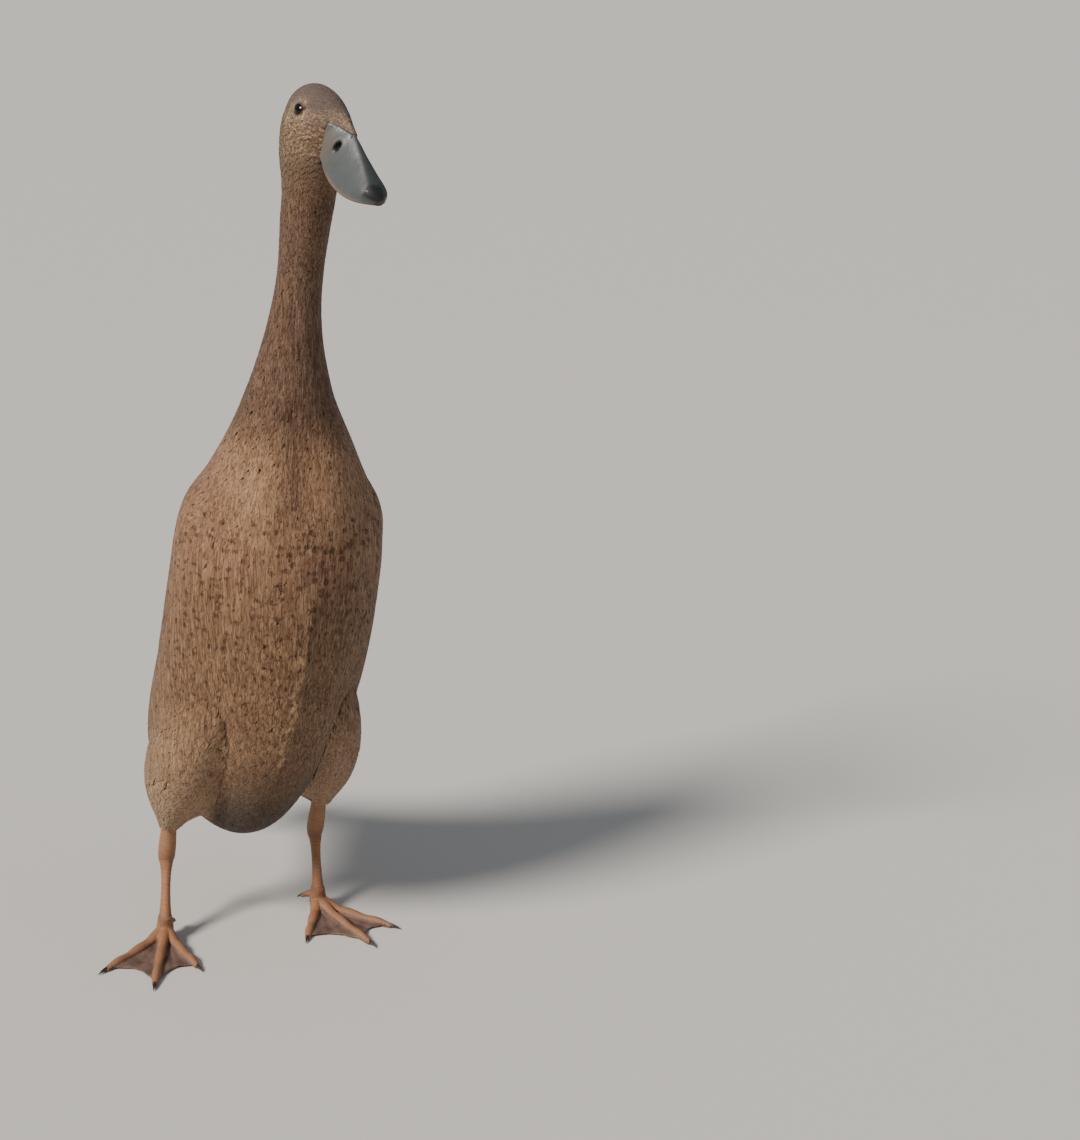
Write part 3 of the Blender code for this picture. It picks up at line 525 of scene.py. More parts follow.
def ankle(side: str) -> Array:
    """The middle of the ankle, in the duck's own terms."""
    left, forward = FEET[side]["ankle"]
    return np.array([left, forward, ANKLE_HEIGHT])


class Markings:
    """Where each of the duck's colours lies, with its painted shade and highlights, from its own proportions.
    """

    def at(self, points: Array) -> dict[str, Array]:
        """The share of each marking.

        Args:
            points: places in the model's frame.

        Returns:
            A share from 0 to 1 for each marking and point.
        """
        left = points[:, 0] + ORIGIN_LEFT
        forward = ORIGIN_FORWARD - points[:, 1]
        up = points[:, 2]
        middle = left - SIDE_LEAN * step(0, 1, up / SIDE_LEAN_HEIGHT)
        front = step(-0.01, 0.05, forward)
        head = step(0.545, 0.575, up)
        turned_left = middle * math.cos(HEAD_YAW) - (forward - YAW_AXIS_FORWARD) * math.sin(HEAD_YAW)
        crown = step(0.590, 0.606, up + 0.35 * (forward - 0.10) - 0.3 * np.abs(turned_left))
        place = head_frame(points)
        wedge = step(0.014, 0.023, place[:, 1]) * step(0.583, 0.590, up)
        wedge = wedge * fall(0.006, 0.011, np.abs(place[:, 0]))
        crown = np.maximum(crown, wedge)
        neck = step(0.372, 0.425, up) * (1 - head)
        breast = step(0.265, 0.33, up) * fall(0.385, 0.43, up) * front
        # Painted shade: partly a darker belly tone, mostly shade painted under the low belly and into the
        # creases round the thighs' tops.
        belly = fall(0.10, 0.19, up) * step(-0.12, -0.04, forward)
        thigh = np.zeros(len(points))
        outer = step(0.018, 0.040, np.abs(middle))
        for side in SIDES:
            low, high = hock(side)[:2], np.array(ThighForm.TOPS[side])[:2]
            share = np.clip((up - 0.085) / 0.137, 0, 1)[:, None]
            centre = low + (high - low) * share
            gap = np.linalg.norm((np.stack([left, forward], 1) - centre) / (0.031, 0.044), axis=1)
            reach = fall(0.75, 1.15, gap) * fall(0.160, 0.205, up) * step(0.07, 0.10, up)
            thigh = np.maximum(thigh, reach * outer)
        # Painted highlights: a pale line along the crest of the breast's parting ridge, where the light
        # catches it, and a paler wash over the two lobes of the upper breast.
        lobes = bell(np.abs(middle) - 0.028, 0.015)
        lobes = lobes * step(0.325, 0.350, up) * fall(0.380, 0.405, up)
        aside = (middle - parting_line(up)) / 0.0016
        ridge = np.exp(-(aside**2)) * step(0.15, 0.18, up) * fall(0.25, 0.28, up)
        high = step(0.235, 0.30, up) * front * step(-0.045, 0.0, middle)
        shaded = step(0.0, 0.02, middle - parting_line(up)) * fall(0.235, 0.275, up)
        spots = (0.66 + 0.34 * high) * step(0.17, 0.24, up) * fall(0.325, 0.365, up) * (1 - thigh)
        spots = spots * (1 - 0.75 * shaded)
        return {
            "neck": neck,
            "head": head,
            "crown": crown * head,
            "breast": breast,
            "belly": belly * (1 - thigh),
            "thigh": thigh,
            # painted highlights on the parting ridge and the breast's lobes
            "pale": np.maximum(ridge, 0.38 * lobes) * front,
            "speckle": self.speckle(points) * head,
            "spots": spots,
        }

    def speckle(self, points: Array) -> Array:
        """The share of pale speckles, round each eye and back over the cheeks."""
        place = head_frame(points)
        gap = np.linalg.norm((place - (0, 0.0075, 0.5985)) * (0, 1, 1), axis=1)
        ring = bell(gap - 0.0068, 0.0028)
        cheek = step(0.568, 0.580, place[:, 2]) * fall(0.597, 0.604, place[:, 2])
        return np.clip(ring + 0.55 * cheek * step(-0.012, 0.0, place[:, 1]), 0, 1)


def operator(name: str, swapped: bool = False) -> Callable[[Signal, Signal | float], Signal]:
    """A method of Signal that adds one Math node, with the values swapped for a reflected form."""

    def apply(self: Signal, other: Signal | float) -> Signal:
        return self.sum(name, other, self) if swapped else self.sum(name, self, other)

    return apply


class Signal:
    """A shader socket that takes part in sums as a plain expression."""

    __add__, __radd__ = operator("ADD"), operator("ADD", swapped=True)
    __sub__, __rsub__ = operator("SUBTRACT"), operator("SUBTRACT", swapped=True)
    __mul__, __rmul__ = operator("MULTIPLY"), operator("MULTIPLY", swapped=True)
    least = operator("MINIMUM")

    def __init__(self, shading: Shading, socket: Socket) -> None:
        self.shading = shading
        self.socket = socket

    def sum(self, operation: str, *values: Signal | float) -> Signal:
        """One Math node on the given values."""
        return self.shading.value("ShaderNodeMath", {"operation": operation}, dict(enumerate(values)))

    def __abs__(self) -> Signal:
        return self.sum("ABSOLUTE", self)

    def sine(self) -> Signal:
        """The sine of the value."""
        return self.sum("SINE", self)

    def ease(self, low: float, high: float) -> Signal:
        """A smooth share from 0 at low to 1 at high, which may be the lower number."""
        return self.shading.value(
            "ShaderNodeMapRange",
            {"interpolation_type": "SMOOTHSTEP"},
            {0: self, 1: low, 2: high, 3: 0.0, 4: 1.0},
        )


Colour = tuple[float, float, float]


class Blend(Enum):
    """How one colour goes over another."""

    OVER = "MIX"
    DARKEN = "MULTIPLY"


class Shading:
    """Adds the nodes of one material."""

    def __init__(self, name: str) -> None:
        self.material = bpy.data.materials.new(name)
        self.material.use_nodes = True
        self.tree = self.material.node_tree
        self.shader = self.tree.nodes["Principled BSDF"]

    def node(self, kind: str, settings: dict | None = None, sockets: dict | None = None) -> bpy.types.Node:
        """Adds one node.

        Args:
            kind: the node's type name.
            settings: its options, which are set first. "stops" fills a colour ramp.
            sockets: values or links by the input's name or number.

        Returns:
            The node.
        """
        made = self.tree.nodes.new(kind)
        for name, value in (settings or {}).items():
            if name == "stops":
                self.fill_ramp(made, value)
            else:
                setattr(made, name, value)
        for key, value in (sockets or {}).items():
            self.plug(made.inputs[key], value)
        return made

    def fill_ramp(self, ramp: bpy.types.Node, stops: tuple) -> None:
        """Sets a colour ramp's stops, given as (place, colour)."""
        elements = ramp.color_ramp.elements
        while len(elements) < len(stops):
            elements.new(0.5)
        for element, (place, colour) in zip(elements, stops):
            element.position = place
            element.color = (*colour, 1.0)

    def plug(self, target: Socket, value: Signal | float | tuple) -> None:
        """Links a signal to a socket, or sets the socket's own value."""
        if isinstance(value, Signal):
            self.tree.links.new(value.socket, target)
        elif isinstance(value, tuple) and len(value) == 3 and target.type == "RGBA":
            target.default_value = (*value, 1.0)
        else:
            target.default_value = value

    def value(self, kind: str, settings: dict | None, sockets: dict | None, output: int | str = 0) -> Signal:
        """Adds one node and gives one of its outputs."""
        return Signal(self, self.node(kind, settings, sockets).outputs[output])

    def attribute(self, name: str) -> Signal:
        """A number that the mesh carries at each point."""
        return self.value("ShaderNodeAttribute", {"attribute_name": name}, None, "Fac")

    def place(self) -> Signal:
        """The point on the object, in metres."""
        return self.value("ShaderNodeTexCoord", None, None, "Object")

    def stretched(self, by: Colour) -> Signal:
        """The point on the object, each way multiplied by its own number."""
        return self.value("ShaderNodeVectorMath", {"operation": "MULTIPLY"}, {0: self.place(), 1: by})

    def mix(self, share: Signal | float, first: Signal | Colour, second: Signal | Colour) -> Signal:
        """The first colour where share is 0 and the second where it is 1."""
        return self.blend(Blend.OVER, share, first, second)

    def tint(self, share: Signal | float, first: Signal | Colour, second: Signal | Colour) -> Signal:
        """The first colour multiplied by the second, by a share."""
        return self.blend(Blend.DARKEN, share, first, second)

    def blend(self, way: Blend, share: Signal | float, first: Signal | Colour,
              second: Signal | Colour) -> Signal:
        """Two colours put together by a share."""
        settings = {"data_type": "RGBA", "blend_type": way.value}
        return self.value("ShaderNodeMix", settings, {0: share, 6: first, 7: second}, 2)

    def noise(self, scale: float, detail: float = 2.0, stretch: Colour | None = None) -> Signal:
        """A soft noise from 0 to 1 over the object."""
        place = self.stretched(stretch) if stretch else self.place()
        return self.value("ShaderNodeTexNoise", None, {"Vector": place, "Scale": scale, "Detail": detail})

    def bump(self, height: Signal, distance: float, strength: float = 1.0) -> None:
        """Gives the surface fine relief, distance being its depth in metres."""
        sockets = {"Height": height, "Distance": distance, "Strength": strength}
        self.plug(self.shader.inputs["Normal"], self.value("ShaderNodeBump", None, sockets))

    def finish(self, colour: Signal, roughness: Signal | float, **constants: float) -> Finish:
        """Sets the shader's colour, roughness and constants.

        Args:
            colour: the base colour.
            roughness: the roughness.
            constants: other sockets by name, with _ for a space.

        Returns:
            The material.
        """
        self.plug(self.shader.inputs["Base Color"], colour)
        self.plug(self.shader.inputs["Roughness"], roughness)
        for name, value in constants.items():
            self.shader.inputs[name.replace("_", " ")].default_value = value
        return self.material


@dataclass(frozen=True)
class PlumageFinish:
    """The duck's soft plumage: fawn body, coppery neck, spotted breast, pale thighs, with painted shade under
    the belly and in the cheeks' row troughs, and painted highlights on the breast's parting and lobes.
    """

    fawn: Colour = (0.215, 0.124, 0.069)
    copper: Colour = (0.152, 0.089, 0.059)
    breast: Colour = (0.305, 0.172, 0.106)
    face: Colour = (0.146, 0.096, 0.065)
    crown: Colour = (0.136, 0.101, 0.088)
    # painted shade: mostly shade under the low belly, over its own darker grey-brown
    belly: Colour = (0.050, 0.031, 0.020)
    thigh: Colour = (0.375, 0.250, 0.155)
    pale: Colour = (0.54, 0.36, 0.21)
    spot: Colour = (0.070, 0.030, 0.016)

    def make(self, name: str, on_skin: bool = False) -> Finish:
        """The material.

        Args:
            name: its name.
            on_skin: whether it is for the skin under the feathers.

        Returns:
            The material.
        """
        s = Shading(name)
        colour = s.mix(s.attribute("breast") * 0.8, self.fawn, self.breast)
        # the low belly's mark lays painted shade under the body
        marks = {"neck": self.copper, "belly": self.belly, "thigh": self.thigh, "head": self.face}
        for mark, paint in {**marks, "crown": self.crown}.items():
            colour = s.mix(s.attribute(mark), colour, paint)
        # painted highlights on the breast's parting ridge and lobes
        colour = s.mix(s.attribute("pale") * 0.7, colour, self.pale)
        patches = s.noise(38.0, 3.0)
        colour = s.tint(patches.ease(0.35, 0.72) * 0.40, colour, (0.70, 0.66, 0.62))
        colour = s.mix(self.spots(s), colour, self.spot)
        if on_skin:
            colour = s.tint(0.35, colour, (0.50, 0.44, 0.40))
            s.bump(s.noise(900.0, 2.0), 0.0003)
            return s.finish(colour, 0.9, Specular_IOR_Level=0.2)
        tone, way, side = s.attribute("tone"), s.attribute("way"), s.attribute("side")
        neck, head = s.attribute("neck"), s.attribute("head")
        colour = s.tint(tone.ease(0.40, 0.0) * (neck * 0.15 + 0.06), colour, (0.52, 0.46, 0.42))
        colour = s.mix(tone.ease(0.75, 1.0) * 0.06, colour, self.pale)
        broad = s.noise(1.0, 2.0, (480.0, 480.0, 40.0))
        # fewer streaks where the low belly's painted shade lies
        upright = (1.0 - head) * (1.0 - s.attribute("belly") * 0.75)
        colour = s.tint(broad.ease(0.56, 0.38) * upright * 0.62, colour, (0.56, 0.48, 0.42))
        colour = s.mix(broad.ease(0.54, 0.68) * upright * (1.0 - neck * 0.8) * 0.13, colour, self.pale)
        strands = s.noise(1.0, 3.0, (1500.0, 1500.0, 90.0))
        strength = (neck * 0.10 + 0.85) * upright
        colour = s.tint(strands.ease(0.50, 0.36) * strength, colour, (0.45, 0.36, 0.30))
        colour = s.mix(strands.ease(0.55, 0.70) * upright * (1.0 - neck * 0.4) * 0.34, colour, self.pale)
        place = s.value("ShaderNodeCombineXYZ", None, {0: side * 4.0, 1: way * 1.6, 2: tone * 80.0})
        barbs = s.value("ShaderNodeTexNoise", None, {"Vector": place, "Scale": 1.0, "Detail": 3.0})
        thigh = s.attribute("thigh")
        dark = barbs.ease(0.52, 0.36) * (head * 0.20 + thigh * 0.45 + 0.22)
        colour = s.tint(dark, colour, (0.48, 0.40, 0.35))
        colour = s.mix(barbs.ease(0.56, 0.72) * (head * 0.14 + thigh * 0.35 + 0.10), colour, self.pale)
        speckle = s.attribute("speckle") * tone.ease(0.45, 0.80) * way.ease(0.4, 0.8)
        colour = s.mix(speckle * 0.90, colour, self.pale)
        # Painted light on the cheeks' wavy rows: the speckled face stays paler only on the rows' crests, and
        # painted shade lies down in the troughs between them.
        row = s.attribute("row")
        colour = s.mix(s.attribute("speckle") * row.ease(0.70, 1.0) * 0.24, colour, self.pale)
        colour = s.tint(row.ease(0.60, 0.05) * 0.72, colour, (0.44, 0.36, 0.32))
        s.bump(barbs, 0.00012)
        return s.finish(colour, 0.80, Specular_IOR_Level=0.22, Sheen_Weight=0.10, Sheen_Roughness=0.5)

    def spots(self, s: Shading) -> Signal:
        """The dark marks of the breast, largest high up and fading down the flanks."""
        warp = s.noise(420.0, 2.0)
        sockets = {"Vector": s.stretched((0.85, 0.85, 1.0)), "Scale": 158.0, "Randomness": 0.75}
        cells = s.value("ShaderNodeTexVoronoi", {"feature": "F1"}, sockets)
        region = s.attribute("spots")
        reach = cells + (warp - 0.5) * 0.66 + (1.0 - region) * 0.22
        return reach.ease(0.42, 0.26) * region.ease(0.0, 0.3) * 0.74


@dataclass(frozen=True)
class QuillFinish:
    """The larger wing and tail feathers: grey-brown vanes with darker middles and pale edges."""

    vane: Colour = (0.190, 0.118, 0.072)
    middle: Colour = (0.112, 0.070, 0.046)
    edge: Colour = (0.330, 0.215, 0.130)
    shaft: Colour = (0.150, 0.098, 0.064)
    end: Colour = (0.060, 0.046, 0.040)

    def make(self, name: str, dark_end: float = 0.0) -> Finish:
        """The material, with ends as dark as dark_end says."""
        s = Shading(name)
        way, side, tone = s.attribute("way"), s.attribute("side"), s.attribute("tone")
        across = abs(side)
        colour = s.mix(across.ease(0.75, 0.15) * way.ease(0.05, 0.4), self.vane, self.middle)
        colour = s.tint(tone.ease(0.6, 0.0) * 0.5, colour, (0.66, 0.62, 0.58))
        colour = s.mix(way.ease(0.45, 1.0) * dark_end, colour, self.end)
        barbs = (way * 210.0 + across * 60.0 + s.noise(60.0) * 8.0).sine()
        colour = s.tint(barbs.ease(0.0, 1.0) * 0.22, colour, (0.6, 0.56, 0.52))
        fringe = (across.ease(0.80, 0.98) + way.ease(0.93, 1.0)).least(1.0)
        colour = s.mix(fringe * 0.75, colour, self.edge)
        colour = s.mix(across.ease(0.055, 0.025) * 0.8, colour, self.shaft)
        s.bump(barbs * 0.5 + across.ease(0.06, 0.0) * 2.0, 0.00012)
        return s.finish(colour, 0.62, Specular_IOR_Level=0.35)


@dataclass(frozen=True)
class BillFinish:
    """Slate grey-green horn with a darker ridge, a near-black nail, a thin pinkish edge and painted shade in
    the nostrils.
    """

    side: Colour = (0.083, 0.095, 0.098)
    ridge: Colour = (0.032, 0.038, 0.040)
    nail: Colour = (0.010, 0.010, 0.011)
    edge: Colour = (0.200, 0.120, 0.088)
    gape: Colour = (0.150, 0.115, 0.090)
    # painted shade: near-black inside the nostril's opening
    nostril: Colour = (0.010, 0.010, 0.010)

    def make(self, name: str) -> Finish:
        """The material."""
        s = Shading(name)
        mottle = s.noise(170.0, 4.0)
        colour = s.mix(s.attribute("ridge"), self.side, self.ridge)
        colour = s.tint(mottle.ease(0.40, 0.70) * 0.35, colour, (0.62, 0.66, 0.66))
        colour = s.mix(s.attribute("gape") * 0.7, colour, self.gape)
        for mark, paint in {"edge": self.edge, "nail": self.nail, "nostril": self.nostril}.items():
            colour = s.mix(s.attribute(mark), colour, paint)
        s.bump(s.noise(520.0, 3.0, (1.0, 1.0, 0.35)) + mottle * 0.5, 0.00012)
        dull = s.attribute("nostril") * 0.5 + s.attribute("nail") * 0.22
        rough = (0.36 + mottle * 0.14 + dull).least(1.0)
        return s.finish(colour, rough, Specular_IOR_Level=0.45, Coat_Weight=0.05)


@dataclass(frozen=True)
class EyeFinish:
    """A dark brown eye with a near-black pupil under a wet clear surface."""

    iris: Colour = (0.070, 0.030, 0.012)
    pupil: Colour = (0.003, 0.003, 0.003)

    def make(self, name: str) -> Finish:
        """The material."""
        s = Shading(name)
        outward = s.attribute("outward")
        streaks = s.noise(2600.0, 3.0)
        colour = s.tint(streaks * 0.7, self.iris, (0.3, 0.3, 0.3))
        colour = s.mix(outward.ease(0.86, 0.89), colour, self.pupil)
        return s.finish(colour, 0.10, Specular_IOR_Level=0.30, Coat_Weight=0.10, Coat_Roughness=0.02)


@dataclass(frozen=True)
class LidFinish:
    """The bare grey-brown rim of an eyelid."""

    rim: Colour = (0.150, 0.105, 0.078)
    dark: Colour = (0.050, 0.036, 0.030)

    def make(self, name: str) -> Finish:
        """The material."""
        s = Shading(name)
        grain = s.noise(1600.0, 3.0)
        s.bump(grain, 0.0001)
        return s.finish(s.mix(grain.ease(0.35, 0.7), self.dark, self.rim), 0.55)


@dataclass(frozen=True)
class LegFinish:
    """Orange-brown scaled legs and toes, with grey-brown webs between them."""

    leg: Colour = (0.350, 0.163, 0.080)
    worn: Colour = (0.330, 0.200, 0.120)
    joint: Colour = (0.130, 0.062, 0.036)
    web: Colour = (0.185, 0.116, 0.090)
    web_dark: Colour = (0.090, 0.060, 0.050)

    def make(self, name: str) -> Finish:
        """The material."""
        s = Shading(name)
        blotches = s.noise(130.0, 4.0)
        settings = {"feature": "DISTANCE_TO_EDGE"}
        plates = s.value("ShaderNodeTexVoronoi", settings, {"Vector": s.place(), "Scale": 620.0}, "Distance")
        line = plates.ease(0.10, 0.0)
        colour = s.mix(blotches.ease(0.45, 0.75) * 0.6, self.leg, self.worn)
        colour = s.mix(s.attribute("joint") * 0.6, colour, self.joint)
        web = s.mix(s.noise(95.0, 3.0).ease(0.4, 0.7), self.web, self.web_dark)
        colour = s.mix(s.attribute("web"), colour, web)
        colour = s.tint(line * 0.45, colour, (0.45, 0.38, 0.34))
        scutes = s.attribute("scute")
        colour = s.tint(scutes.ease(0.72, 1.0) * 0.5, colour, (0.45, 0.36, 0.30))
        s.bump(plates.ease(0.0, 0.25) * 0.6 + blotches * 0.4, 0.00018)
        return s.finish(colour, 0.52 + blotches * 0.15, Specular_IOR_Level=0.4)


@dataclass(frozen=True)
class ClawFinish:
    """Dark horn claws, paler and worn along the tip."""

    horn: Colour = (0.030, 0.022, 0.018)
    worn: Colour = (0.120, 0.085, 0.060)

    def make(self, name: str) -> Finish:
        """The material."""
        s = Shading(name)
        grain = s.noise(900.0, 3.0, (1.0, 0.3, 1.0))
        s.bump(grain, 0.0001)
        return s.finish(s.mix(grain.ease(0.5, 0.8) * 0.6, self.horn, self.worn), 0.42)


@dataclass(frozen=True)
class FloorFinish:
    """A plain pale studio floor."""

    tone: Colour = (0.68, 0.67, 0.65)

    def make(self, name: str) -> Finish:
        """The material."""
        s = Shading(name)
        return s.finish(s.tint(s.noise(3.0) * 0.04, self.tone, (0.9, 0.9, 0.9)), 0.9, Specular_IOR_Level=0.1)


def mesh_object(name: str, points: Array, faces: list[Array], numbers: dict[str, Array] | None = None,
                flat_map: Array | None = None, crisp: float | None = None) -> Piece:
    """A smooth-shaded object from arrays.

    Args:
        name: the piece's name.
        points: its corners.
        faces: arrays of triangles and of quads, by corner.
        numbers: values at each corner, by name.
        flat_map: each corner's place on the map OFBake.
        crisp: the angle, in degrees, beyond which an edge stays sharp.

    Returns:
        The object, in the scene.
    """
    mesh = bpy.data.meshes.new(name)
    mesh.vertices.add(len(points))
    mesh.vertices.foreach_set("co", np.ascontiguousarray(points, np.float32).ravel())
    corners = np.concatenate([np.asarray(f, np.int32).ravel() for f in faces])
    counts = np.concatenate([np.full(len(f), f.shape[1], np.int32) for f in faces])
    starts = np.concatenate([[0], np.cumsum(counts)[:-1]]).astype(np.int32)
    mesh.loops.add(len(corners))
    mesh.loops.foreach_set("vertex_index", corners)
    mesh.polygons.add(len(counts))
    mesh.polygons.foreach_set("loop_start", starts)
    mesh.polygons.foreach_set("loop_total", counts)
    mesh.update(calc_edges=True)
    if flat_map is not None:
        layer = mesh.uv_layers.new(name="OFBake")
        layer.data.foreach_set("uv", np.ascontiguousarray(flat_map[corners], np.float32).ravel())
    carry(mesh, numbers or {})
    mesh.shade_smooth()
    if crisp is not None:
        mesh.set_sharp_from_angle(angle=math.radians(crisp))
    made = bpy.data.objects.new(name, mesh)
    bpy.context.scene.collection.objects.link(made)
    return made


def carry(mesh: bpy.types.Mesh, numbers: dict[str, Array]) -> None:
    """Stores values at each of the mesh's corners."""
    for name, values in numbers.items():
        layer = mesh.attributes.new(name, "FLOAT", "POINT")
        layer.data.foreach_set("value", np.ascontiguousarray(values, np.float32))


def corners_of(mesh: bpy.types.Mesh) -> Array:
    """The mesh's corners as an array."""
    flat = np.zeros(len(mesh.vertices) * 3, np.float32)
    mesh.vertices.foreach_get("co", flat)
    return flat.reshape(-1, 3).astype(float)


def tube_faces(rings: int, sides: int) -> Array:
    """Quads that join rings of equal count."""
    r, k = np.meshgrid(np.arange(rings - 1), np.arange(sides), indexing="ij")
    nxt = (k + 1) % sides
    quads = np.stack([r * sides + k, r * sides + nxt, (r + 1) * sides + nxt, (r + 1) * sides + k], axis=-1)
    return quads.reshape(-1, 4)


def closed_tube(grid: Array) -> tuple[Array, list[Array]]:
    """Corners and faces of a solid through rings of points, with a fan at each end.

    Args:
        grid: rings by sides by three.

    Returns:
        The corners, and arrays of faces.
    """
    rings, sides, _ = grid.shape
    points = np.concatenate([grid.reshape(-1, 3), grid[0].mean(0)[None], grid[-1].mean(0)[None]])
    k = np.arange(sides)
    nxt = (k + 1) % sides
    base = (rings - 1) * sides
    start = np.stack([nxt, k, np.full(sides, rings * sides)], axis=1)
    end = np.stack([base + k, base + nxt, np.full(sides, rings * sides + 1)], axis=1)
    return points, [tube_faces(rings, sides), np.concatenate([start, end])]


def outward(piece: Piece) -> Piece:
    """Turns a closed piece's faces outwards."""
    shape = bmesh.new()
    shape.from_mesh(piece.data)
    bmesh.ops.recalc_face_normals(shape, faces=shape.faces)
    shape.to_mesh(piece.data)
    shape.free()
    return piece


def fused(name: str, parts: list[Piece], voxel: float, smooth: int) -> Piece:
    """Melts closed parts into one seamless surface.

    Args:
        name: the new piece's name.
        parts: closed meshes, which are used up.
        voxel: the size of the new surface's squares.
        smooth: how many times the surface is smoothed.

    Returns:
        The new piece.
    """
    joined = bmesh.new()
    for part in parts:
        joined.from_mesh(part.data)
        bpy.data.objects.remove(part)
    mesh = bpy.data.meshes.new(name)
    joined.to_mesh(mesh)
    joined.free()
    made = bpy.data.objects.new(name, mesh)
    bpy.context.scene.collection.objects.link(made)
    remesh = made.modifiers.new("surface", "REMESH")
    remesh.mode = "VOXEL"
    remesh.voxel_size = voxel
    soften = made.modifiers.new("soften", "SMOOTH")
    soften.factor = 0.5
    soften.iterations = smooth
    graph = bpy.context.evaluated_depsgraph_get()
    final = bpy.data.meshes.new_from_object(made.evaluated_get(graph))
    made.modifiers.clear()
    made.data = final
    final.name = name
    final.shade_smooth()
    return made


@dataclass
class FeatherCut:
    """The plan of one kind of small feather: how finely it is cut, and its outline."""

    columns: int = 5
    rows: tuple[float, ...] = (0.0, 0.35, 0.65, 0.88, 1.0)
    narrow: float = 0.45
    round_end: float = 0.35
    ragged: float = 0.10
    camber: float = 0.03
    thickness: float = 0.00007
    soaring: float = 0.15

    def plan(self) -> tuple[Array, Array, Array]:
        """Each corner's place along (0 to 1) and across (-1 to 1), and whether it is underneath."""
        across = np.linspace(-1, 1, self.columns)
        way = np.repeat(self.rows, self.columns + 1)
        side = np.tile([*across, 0.0], len(self.rows))
        return way, side, np.tile([0.0] * self.columns + [1.0], len(self.rows))

    def faces(self) -> tuple[Array, Array]:
        """The quads of both surfaces, and the triangles that close their ends."""
        width, last = self.columns + 1, self.columns - 1
        pairs = [(k, k + 1) for k in range(last)] + [(self.columns, 0), (last, self.columns)]
        starts = [r * width for r in range(len(self.rows) - 1)]
        quads = [(r + a, r + b, r + width + b, r + width + a) for r in starts for a, b in pairs]
        tip, under = (len(self.rows) - 1) * width, self.columns
        ends = [end for k in range(last) for end in ((k + 1, k, under), (tip + k, tip + k + 1, tip + under))]
        return np.array(quads), np.array(ends)


@dataclass
class Roots:
    """Where feathers grow on a form, and what each is like."""

    p: Array
    q: Array
    length: Array
    width: Array
    turn: Array
    deep: Array
    rise: Array
    tone: Array
    row: Array

    @classmethod
    def sown(cls, draw: np.random.Generator, p: Array, q: Array, length: tuple, width: tuple,
             turn: float, deep: Array | float, rise: float) -> Roots:
        """Roots at given places, with the rest drawn.

        Args:
            draw: the random source.
            p, q: the places.
            length, width: the least and most of each.
            turn: how much the lay varies, in degrees.
            deep: how deep the roots lie.
            rise: how much the height of the tips varies.

        Returns:
            The roots, none of them in a row.
        """
        count = len(p)
        return cls(
            p=p,
            q=q,
            length=draw.uniform(*length, count),
            width=draw.uniform(*width, count),
            turn=draw.normal(0, math.radians(turn), count),
            deep=np.zeros(count) + deep,
            rise=np.abs(draw.normal(0, rise, count)),
            tone=draw.uniform(0, 1, count),
            row=np.ones(count),
        )

    def picked(self, keep: Array) -> Roots:
        """The roots where keep is true."""
        return Roots(**{name: values[keep] for name, values in vars(self).items()})


class Sowing:
    """Spreads roots evenly over a form, no two nearer than the given spacing."""

    TRIES = 9.0

    def __init__(self, seed: int) -> None:
        self.draw = np.random.default_rng(seed)

    def spread(self, form: Form, p_range: Span, q_range: Span,
               spacing: Callable[[Array, Array], Array]) -> tuple[Array, Array, Array]:
        """Even random places.

        Args:
            form: the surface.
            p_range, q_range: the limits of p and q.
            spacing: a function of (p, q) that gives the least distance between roots.

        Returns:
            p, q and the points.
        """
        probe_p, probe_q = even_grid(p_range, q_range, 60, 60)
        room = form.area(probe_p, probe_q) / spacing(probe_p, probe_q) ** 2
        total = room.mean() * (p_range[1] - p_range[0]) * (q_range[1] - q_range[0])
        ceiling = room.max()
        count = int(total * self.TRIES * ceiling / room.mean())
        p = self.draw.uniform(*p_range, count)
        q = self.draw.uniform(*q_range, count)
        gap = spacing(p, q)
        chance = form.area(p, q) / gap**2 / ceiling
        keep = self.draw.uniform(0, 1, count) < chance
        p, q, gap = p[keep], q[keep], gap[keep]
        return self.thinned(p, q, form.surface(p, q), gap)

    def thinned(self, p: Array, q: Array, points: Array, gap: Array) -> tuple[Array, Array, Array]:
        """Keeps each place that no kept one is near."""
        cell = float(np.median(gap))
        keys = np.floor(points / cell).astype(int)
        reach = int(math.ceil(gap.max() / cell))
        offsets = np.array(list(np.ndindex(*(2 * reach + 1,) * 3))) - reach
        offsets = offsets.tolist()
        taken: dict[tuple, list[int]] = {}
        kept: list[int] = []
        spots = [tuple(row) for row in points.tolist()]
        limits = (gap * gap).tolist()
        for index, (a, b, c) in enumerate(keys.tolist()):
            x, y, z = spots[index]
            limit = limits[index]
            others = (o for i, j, k in offsets for o in taken.get((a + i, b + j, c + k), ()))
            gaps = ((x - spots[o][0]) ** 2 + (y - spots[o][1]) ** 2 + (z - spots[o][2]) ** 2 for o in others)
            if not any(square < limit for square in gaps):
                taken.setdefault((a, b, c), []).append(index)
                kept.append(index)
        chosen = np.array(kept)
        return p[chosen], q[chosen], points[chosen]


